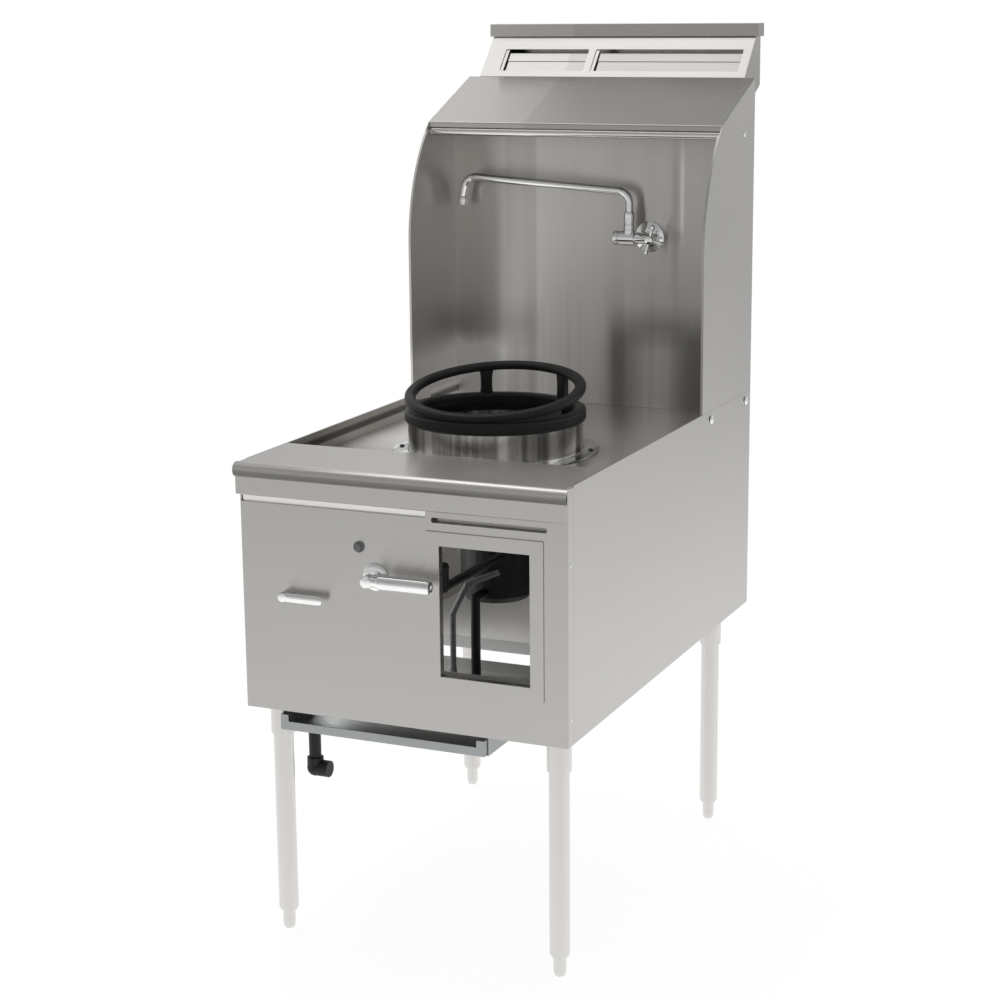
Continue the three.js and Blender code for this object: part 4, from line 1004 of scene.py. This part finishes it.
def riser_face(z):
    return RISER_FOOT + (z - HOOD_TOP) * RISER_LEAN


def riser():
    """Leaning flue box, open to the hood and with two outlet slots in its front."""
    outer = [(RISER_FOOT, RISER_BOTTOM), (RISER_FOOT, HOOD_TOP), (RISER_TOP_FRONT, RISER_TOP)]
    outer += [(RISER_BACK, RISER_TOP), (RISER_BACK, RISER_HEEL)]
    slant = SHEET * hypot(1, RISER_LEAN)
    front, back, top = RISER_FOOT + SHEET, RISER_BACK - SHEET, RISER_TOP - SHEET
    inner = [(front, RISER_BOTTOM + 3.0), (front, HOOD_TOP + 0.4), (riser_face(top) + slant, top)]
    inner += [(back, top), (back, RISER_HEEL + 0.7)]
    body = prism(rounded_loop(outer, 1.0), "X", -RISER_HALF, RISER_HALF)
    hollow = prism(inner, "X", -RISER_HALF + SHEET, RISER_HALF - SHEET)
    inlet = prism(rectangle(*FLUE_INLET), "Y", RISER_FOOT - 1, RISER_FOOT + 3)
    vents = [rounded_loop(rectangle(*vent, VENT_BOTTOM, VENT_TOP), 2.0) for vent in VENTS]
    vents = [prism(vent, "Y", RISER_FOOT - 1, riser_face(VENT_TOP) + 3) for vent in vents]
    return [cut(body, hollow, inlet, *vents)]


def louvre():
    """Blade behind the slots, folded nearer to them along its upper half."""
    middle = (VENT_BOTTOM + VENT_TOP) / 2 + 5
    half = 10 / hypot(1, RISER_LEAN)
    low, high = middle - half, middle + half
    foot = VENT_BOTTOM - 4
    path = [(riser_face(foot) + 9.5, foot), (riser_face(low - 2) + 9.5, low - 2), (riser_face(low) + 8, low)]
    path.append((riser_face(high) + 8, high))
    return [prism(sheet(path), "X", -RISER_HALF + 1.8, RISER_HALF - 1.8)]


def slot_brackets():
    """Upright strips behind the left end of each outlet slot."""
    low, high = VENT_BOTTOM - 2, VENT_TOP + 2
    depth = SHEET + 0.8
    path = [(riser_face(low) + depth, low), (riser_face(high) + depth, high)]
    return [prism(sheet(path), "X", left - 2, left + 7) for left, _ in VENTS]


def cap():
    """Channel with closed ends, open at the back."""
    low = RISER_TOP + SEAT
    high = low + CAP_HEIGHT
    outer = rounded_loop(rectangle(CAP_FRONT, CAP_REAR, low, high), 1.2)
    hollow = rectangle(CAP_FRONT + SHEET, CAP_REAR + 5, low + SHEET, high - SHEET)
    body = prism(outer, "X", -CAP_HALF, CAP_HALF)
    return [cut(body, prism(hollow, "X", SHEET - CAP_HALF, CAP_HALF - SHEET))]


for side, sign in SIDES:
    finish = inward_steel if sign < 0 else side_steel
    add_piece(f"{side}_hood_sheet", hood_side(sign), [f"{side}_hood_side"], finish, bevel=0.4)
add_piece("splash_sheet", splash(), ["splash_back_panel"], splash_steel)
add_piece("canopy_sheet", canopy(), ["hood_canopy"], canopy_steel)
add_piece("lip_bead", lip(), ["hood_lip"], lip_steel)
add_piece("riser_sheet", riser(), ["flue_riser"], hood_steel)
add_piece("louvre_blade", louvre(), ["flue_louvre"], canopy_steel)
add_piece("slot_brackets", slot_brackets(), [], hood_steel)
add_piece("cap_channel", cap(), ["flue_cap"], canopy_steel)

# ---- bolts ----


def dome_bolt():
    """Profile of a washer with a domed head."""
    profile = [(0, SEAT), (7.6, SEAT), (8.5, SEAT + 0.6), (8.5, SEAT + 1.1)]
    profile += [(8.5 * cos(radians(a)), SEAT + 1.1 + 3.4 * sin(radians(a))) for a in range(12, 90, 13)]
    return profile + [(0, SEAT + 4.5)]


def small_screw(radius, rise):
    """Profile of a low domed head with a rounded rim."""
    profile = [(0, 0), (radius, 0), (radius, rise * 0.25)]
    for angle in range(15, 90, 15):
        turn = radians(angle)
        profile.append((radius * cos(turn), rise * (0.25 + 0.75 * sin(turn))))
    return profile + [(0, rise)]


side_screws = []
for side, sign in SIDES:
    for place, y in HOOD_BOLTS:
        bolt = on_side(dome_bolt(), 40, sign, y, HOOD_BOLT_Z)
        add_piece(f"bolt_{side}_{place}", [bolt], [f"hood_bolt_{side}_{place}"], chrome)
    side_screws.append(on_side(small_screw(5.0, 2.4), 32, sign, *HOOD_SCREW))
    for z in CORNER_SCREW_HEIGHTS:
        side_screws.append(on_side(small_screw(2.6, 1.2), 32, sign, CORNER_SCREW_Y, z))
add_piece("side_screws", side_screws, [], chrome)

flange_bolts = []
for angle in FLANGE_BOLT_ANGLES:
    x = FLANGE_BOLT_RADIUS * cos(radians(angle))
    y = BURNER_Y + FLANGE_BOLT_RADIUS * sin(radians(angle))
    flange_bolts.append(upright(small_screw(4.5, 3.2), 32, x, y, COLLAR_BOTTOM + PLATE))
add_piece("collar_flange_bolts", flange_bolts, [], dark_bolt)

# ---- legs ----


def leg_tube():
    """Tube with a plug in its end, bored for the foot's stem."""
    inner = LEG_RADIUS - SHEET
    plug_top = FOOT_TOP + 14
    low = FOOT_TOP + SEAT
    wall = [(FOOT_BORE, low), (LEG_RADIUS - 0.8, low), (LEG_RADIUS, FOOT_TOP + 1.2)]
    wall += [(LEG_RADIUS, LEG_TOP), (inner, LEG_TOP), (inner, plug_top), (FOOT_BORE, plug_top)]
    return wall


def leg_socket():
    """Cup over the tube's top end."""
    top = BOTTOM - SEAT
    cup = LEG_RADIUS + SEAT
    low = top - SOCKET_HEIGHT
    outside = [(0, top), (SOCKET_RADIUS - 0.5, top), (SOCKET_RADIUS, top - 0.5)]
    outside += [(SOCKET_RADIUS, low + 1.2), (SOCKET_RADIUS - 1.2, low)]
    return outside + [(cup, low), (cup, top - PLATE), (0, top - PLATE)]


def bullet_foot():
    """Round foot with a shoulder under the tube and a stem in it."""
    stem_top = FOOT_TOP + 50
    profile = [(0, 0), (6.5, 0), (8.5, 1.2), (10.2, 5.5), (11, 10), (11, 31), (12.2, 34)]
    profile += [(15, 36.4), (15.5, 37.2), (15.5, FOOT_TOP), (7, FOOT_TOP)]
    return profile + [(7, stem_top), (0, stem_top)]


for row, y in LEG_ROWS:
    for side, sign in SIDES:
        tag = f"{row}_{side}"
        for name, profile, node, body in (
            (f"tube_{tag}", leg_tube(), f"leg_{tag}", "range"),
            (f"socket_{tag}", leg_socket(), f"leg_socket_{tag}", "range"),
            (f"bullet_{tag}", bullet_foot(), f"foot_{tag}", f"foot_{tag}"),
        ):
            add_piece(name, [upright(profile, 56, sign * LEG_X, y)], [node], leg_steel, body)

# ---- controls ----


def lever_plate():
    """Dished round plate round the lever's spindle."""
    profile = [(SPINDLE_HOLE, 0), (22.9, 0), (23.5, 0.6), (23.5, 1.2), (22, 2.2), (18.5, 4.2)]
    profile += [(SPINDLE_HOLE + 4, 5), (SPINDLE_HOLE, 5)]
    return [facing_front(profile, 72, (LEVER_X, -SEAT, LEVER_Z))]


def gas_lever():
    """Hub on the spindle, a short neck and a thick round grip with a dimpled end."""
    hub = [(0, -11), (9.5, -11), (11, -9.5), (11, 8), (9, 10.4), (5, 11), (0, 11)]
    foot = -LEVER_STANDOFF - 1.5
    stem = [(0, foot), (5, foot), (5, 0), (0, 0)]
    grip = [(0, 0), (9.1, 0), (9.1, 17), (9.6, 19), (12, 20.4), (13, 22.5), (13, 108), (12.4, 112)]
    grip += [(10.6, 114.8), (8, 115.8), (5, LEVER_REACH), (3.4, 115.6), (2.6, 113.5), (0, 113)]
    place = (LEVER_X, -LEVER_STANDOFF, LEVER_Z)
    return [fuse(facing_front(hub, 48, place), facing_front(stem, 32, place), facing_right(grip, 48, place))]


def pilot_lever():
    """Round boss with a flat tab that points to the right."""
    boss = [(0, -1.5), (5, -1.5), (5, SEAT), (9, SEAT), (9, 19), (7.6, 20.8), (4, 21.2), (0, 21.3)]
    hub = facing_front(boss, 40, (PILOT_X, 0, PILOT_Z))
    blade = [(0, 0), (8.3, 0), (8.3, 20), (8.5, 24), (8.5, 66), (7.6, 71), (5, 73.6), (0, 74)]
    flat = Matrix.Translation((PILOT_X, -15.6, PILOT_Z)) @ Matrix.Diagonal((1, 0.62, 1, 1))
    tab = moved(lathe(blade, 40), flat @ Matrix.Rotation(pi / 2, 4, "Y"))
    return [fuse(hub, tab)]


def igniter_bezel():
    """Ring round the push button, with a sleeve through the panel."""
    ring = [(7.3, -22), (8.4, -22), (8.4, SEAT), (9, SEAT), (9.5, 0.9), (9.5, 2), (8.6, 2.8), (7.3, 2.8)]
    return [facing_front(ring, 40, (BUTTON_X, 0, BUTTON_Z))]


def igniter_button():
    profile = [(0, -18), (7, -18), (7, 7.4), (6.2, 8.4), (3, 8.8), (0, 8.8)]
    return [facing_front(profile, 40, (BUTTON_X, 0, BUTTON_Z))]


add_piece("lever_escutcheon", lever_plate(), ["gas_lever_escutcheon"], chrome)
add_piece("lever_grip", gas_lever(), ["gas_lever"], chrome, "gas_lever")
add_piece("pilot_tab", pilot_lever(), ["pilot_lever"], chrome, "pilot_lever", bevel=0.8)
add_piece("igniter_bezel", igniter_bezel(), ["igniter_body"], grey_plastic)
add_piece("igniter_cap", igniter_button(), ["igniter_button"], grey_plastic, "igniter_button")

# ---- faucet ----

FAUCET_FOOT = (FAUCET_X, SPLASH_Y - SEAT, FAUCET_Z)


def faucet_bell():
    """Round plate that covers the hole in the splash."""
    profile = [(12.3, 0), (29.4, 0), (30, 0.8), (29.6, 1.8), (26, 3.4), (20, 5.2), (16, 7), (12.3, 7)]
    return [facing_front(profile, 64, FAUCET_FOOT)]


def faucet_body():
    """Stem from the wall, a barrel to the left, a neck with the handle's boss and the spout's seat."""
    reach = SPLASH_Y - SEAT - FAUCET_Y
    stem = facing_front([(0, 0), (12, 0), (12, reach), (0, reach)], 48, FAUCET_FOOT)
    length = FAUCET_RIGHT - FAUCET_LEFT
    barrel = [(0, 0), (11.5, 0), (13.6, 1), (BARREL_RADIUS, 3), (BARREL_RADIUS, 9), (13.2, 10.2)]
    barrel += [(13.2, 12.2), (BARREL_RADIUS, 13.4), (BARREL_RADIUS, length - 2), (12.5, length), (0, length)]
    barrel = facing_right(barrel, 56, (FAUCET_LEFT, FAUCET_Y, FAUCET_Z))
    run = HANDLE_X + 10.5 - FAUCET_RIGHT
    neck = [(0, -1), (10.5, -1), (10.5, run - 2), (8.5, run), (0, run)]
    neck = facing_right(neck, 40, (FAUCET_RIGHT, FAUCET_Y, FAUCET_Z))
    boss = [(0, 0), (9, 0), (9, BARREL_RADIUS), (0, BARREL_RADIUS)]
    boss = facing_front(boss, 40, (HANDLE_X, FAUCET_Y, FAUCET_Z))
    top = BARREL_RADIUS + 2
    seat = [(0, 0), (12, 0), (12, top - 0.4), (11.5, top), (0, top)]
    seat = upright(seat, 48, SPOUT_X, FAUCET_Y, FAUCET_Z)
    return [fuse(barrel, stem, neck, boss, seat)]


def faucet_nut():
    """Swivel collar: a plain skirt with a nut on top."""
    low = FAUCET_Z + BARREL_RADIUS + 2 + SEAT
    profile = [(0, low), (11.2, low), (12, low + 0.8), (12, low + 9), (10.4, low + 10.6), (10.4, low + 13)]
    profile += [(12, low + 14.4), (12, low + 29), (10.6, low + 33.2), (9.3, low + 35.2), (8.3, low + 35.2)]
    profile += [(8.3, low + 6), (0, low + 6)]
    return [upright(profile, 48, SPOUT_X, FAUCET_Y)]


def spout():
    """Rises from its nut, bends to the left, climbs a little and ends in a short drop."""
    start = (SPOUT_X, FAUCET_Y, FAUCET_Z + BARREL_RADIUS + 8 + 2 * SEAT)
    corner = (SPOUT_X, FAUCET_Y, SPOUT_ELBOW_Z)
    far = (SPOUT_END_X, FAUCET_Y, SPOUT_END_Z)
    tip = (SPOUT_TIP_X, FAUCET_Y, SPOUT_TIP_Z)
    return [sweep(path_3d([start, corner, far, tip], SPOUT_BEND, 12), SPOUT_RADIUS, 28)]


def aerator():
    """Ribbed sleeve round the spout's tip."""
    profile = [(0, 0), (8.6, 0), (9.6, 0.8), (9.6, 4), (10, 4.6), (10, 12), (8.6, 15), (8.2, 16), (0, 16)]
    return [upright(profile, 40, SPOUT_TIP_X, FAUCET_Y, SPOUT_TIP_Z - SEAT - 18)]


def cross_handle():
    """Four rounded arms on a domed hub."""
    back = FAUCET_Y - BARREL_RADIUS - SEAT
    hub = [(0, 0), (8, 0), (9, 1), (9, 8.5), (7.5, 10.8), (4, 11.8), (0, 12)]
    hub = facing_front(hub, 40, (HANDLE_X, back, FAUCET_Z))
    arm = [(0, 0), (3.0, 0), (3.0, 10), (3.3, 18), (4.2, 22), (4.8, 25), (4.4, 28), (2.6, 29.6), (0, 30)]
    arms = []
    for quarter in range(4):
        place = turned((HANDLE_X, back - 6, FAUCET_Z), radians(90 * quarter + 15), "Y")
        arms.append(moved(lathe(arm, 24), place @ Matrix.Rotation(pi / 2, 4, "Y")))
    return [fuse(hub, *arms)]


add_piece("faucet_bell", faucet_bell(), ["faucet_escutcheon"], chrome)
add_piece("faucet_barrel", faucet_body(), ["faucet_valve_body"], chrome)
add_piece("faucet_nut", faucet_nut(), ["faucet_collar"], chrome)
add_piece("faucet_tube", spout(), ["faucet_spout"], chrome, "faucet_spout")
add_piece("faucet_tip", aerator(), ["faucet_aerator"], chrome, "faucet_spout")
add_piece("faucet_cross", cross_handle(), ["faucet_handle"], chrome, "faucet_handle")

# ---- finishes of the plain CAD nodes ----

KEPT = {
    inner_steel: ["cabinet_rear_panel", "front_rail", "burner_cross_bar", "rear_bottom_plate", "flue_box"],
    back_steel: ["hood_rear_panel"],
    chamber_steel: ["burner_chamber"],
    tube_grey: ["pilot_tube"],
    burner_iron: ["burner_casting"],
    zinc: ["drip_tray", "left_tray_runner", "right_tray_runner"],
    black_pipe: ["gas_elbow", "gas_inlet_pipe", "burner_supply_pipe", "burner_riser_pipe"],
    brass: ["main_gas_valve", "pilot_valve"],
}
for finish, names in KEPT.items():
    for node_name in names:
        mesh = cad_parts[node_name].data
        mesh.materials.clear()
        mesh.materials.append(finish)

# ---- studio ----

FLOOR_REACH = 60.0                # metres
FLOOR_GLOW = 0.82                 # brightness of the paper to the camera
FLOOR_FADE = (0.8, 7.0)           # metres out, between which the paper's reflection darkens
FLOOR_MIRRORED = (0.84, 0.36)     # its brightness in reflections at those two reaches
ROOM_BEHIND = ((0.0, 0.68), (0.35, 0.66), (0.6, 0.46), (1.0, 0.52))     # brightness by height
ROOM_BEFORE = ((0.0, 0.62), (0.3, 0.36), (0.8, 0.3), (1.0, 0.52))
ROOM_TURN = (-0.6, 0.0)           # from front to back, where one passes into the other


def bare_nodes(owner, coordinates="Object"):
    """The nodes of a material or world that starts with none."""
    owner.use_nodes = True
    owner.node_tree.nodes.clear()
    return Nodes(owner, coordinates)


def add_floor():
    """White paper that keeps a shadow; in reflections it darkens far out."""
    mesh = bpy.data.meshes.new("floor")
    corners = rectangle(-FLOOR_REACH, FLOOR_REACH, -FLOOR_REACH, FLOOR_REACH)
    mesh.from_pydata([(x, y, 0) for x, y in corners], [], [(0, 1, 2, 3)])
    floor = linked("floor", mesh)
    material = bpy.data.materials.new("floor")
    n = bare_nodes(material)
    plain = n.add("BsdfDiffuse", Color=(0.8, 0.8, 0.8, 1))
    paper = n.add("BsdfDiffuse", Color=(0.4, 0.4, 0.4, 1))
    flat = n.add("CombineXYZ", X=n.axis("X"), Y=n.axis("Y"))
    reach = n.add("VectorMath", flat.outputs["Vector"])
    reach.operation = "LENGTH"
    mirrored = n.ranged(reach.outputs["Value"], *FLOOR_MIRRORED, FLOOR_FADE, smooth=True)
    strength = n.add("Mix", Factor=n.ray("Camera"), A=mirrored, B=FLOOR_GLOW)
    glow = n.add("Emission", Strength=strength.outputs[0])
    seen = n.add("AddShader", paper.outputs[0], glow.outputs[0])
    direct = n.math("MAXIMUM", n.ray("Camera"), n.ray("Glossy"))
    mix = n.add("MixShader", direct, plain.outputs[0], seen.outputs[0])
    n.add("OutputMaterial", mix.outputs[0])
    mesh.materials.append(material)


def add_world():
    """White to the camera; for all else a room that is bright behind and dimmer in front."""
    world = bpy.data.worlds.new("studio")
    bpy.context.scene.world = world
    n = bare_nodes(world, "Generated")
    height = n.axis("Z")
    share = n.ranged(n.axis("Y"), 0.0, 1.0, ROOM_TURN, smooth=True)
    level = n.mixed(share, n.ramp(height, ROOM_BEFORE, "LINEAR"), n.ramp(height, ROOM_BEHIND, "LINEAR"))
    room = n.add("Background", Color=level)
    white = n.add("Background", Color=(1, 1, 1, 1))
    mix = n.add("MixShader", n.ray("Camera"), room.outputs[0], white.outputs[0])
    n.add("OutputWorld", mix.outputs[0])


def add_softbox(name, place, target, width, height, power):
    """A rectangular lamp, places and size in metres of the row frame."""
    data = bpy.data.lights.new(name, "AREA")
    data.shape = "RECTANGLE"
    data.size = width
    data.size_y = height
    data.energy = power
    lamp = linked(name, data)
    place = Vector(place)
    turn = (Vector(target) - place).to_track_quat("-Z", "Y")
    lamp.visible_camera = False
    lamp.matrix_world = Matrix.Translation(place) @ turn.to_matrix().to_4x4()


add_floor()
add_world()
add_softbox("overhead", (-0.87, 0.2, 3.6), (0, 0.1, 0.9), 1.4, 1.2, 7)
add_softbox("back_left", (-1.98, 2.6, 4.0), (0, 0.3, 1.4), 0.9, 0.9, 1.8)
add_softbox("under_cabinet", (-0.08, -0.06, 0.54), (-0.12, 0.44, 0.53), 0.3, 0.06, 0.3)
add_softbox("behind_panel", (-0.285, -0.26, 0.60), (-0.05, -0.23, 0.62), 0.05, 0.24, 0.45)

bpy.context.scene.view_settings.view_transform = "Standard"
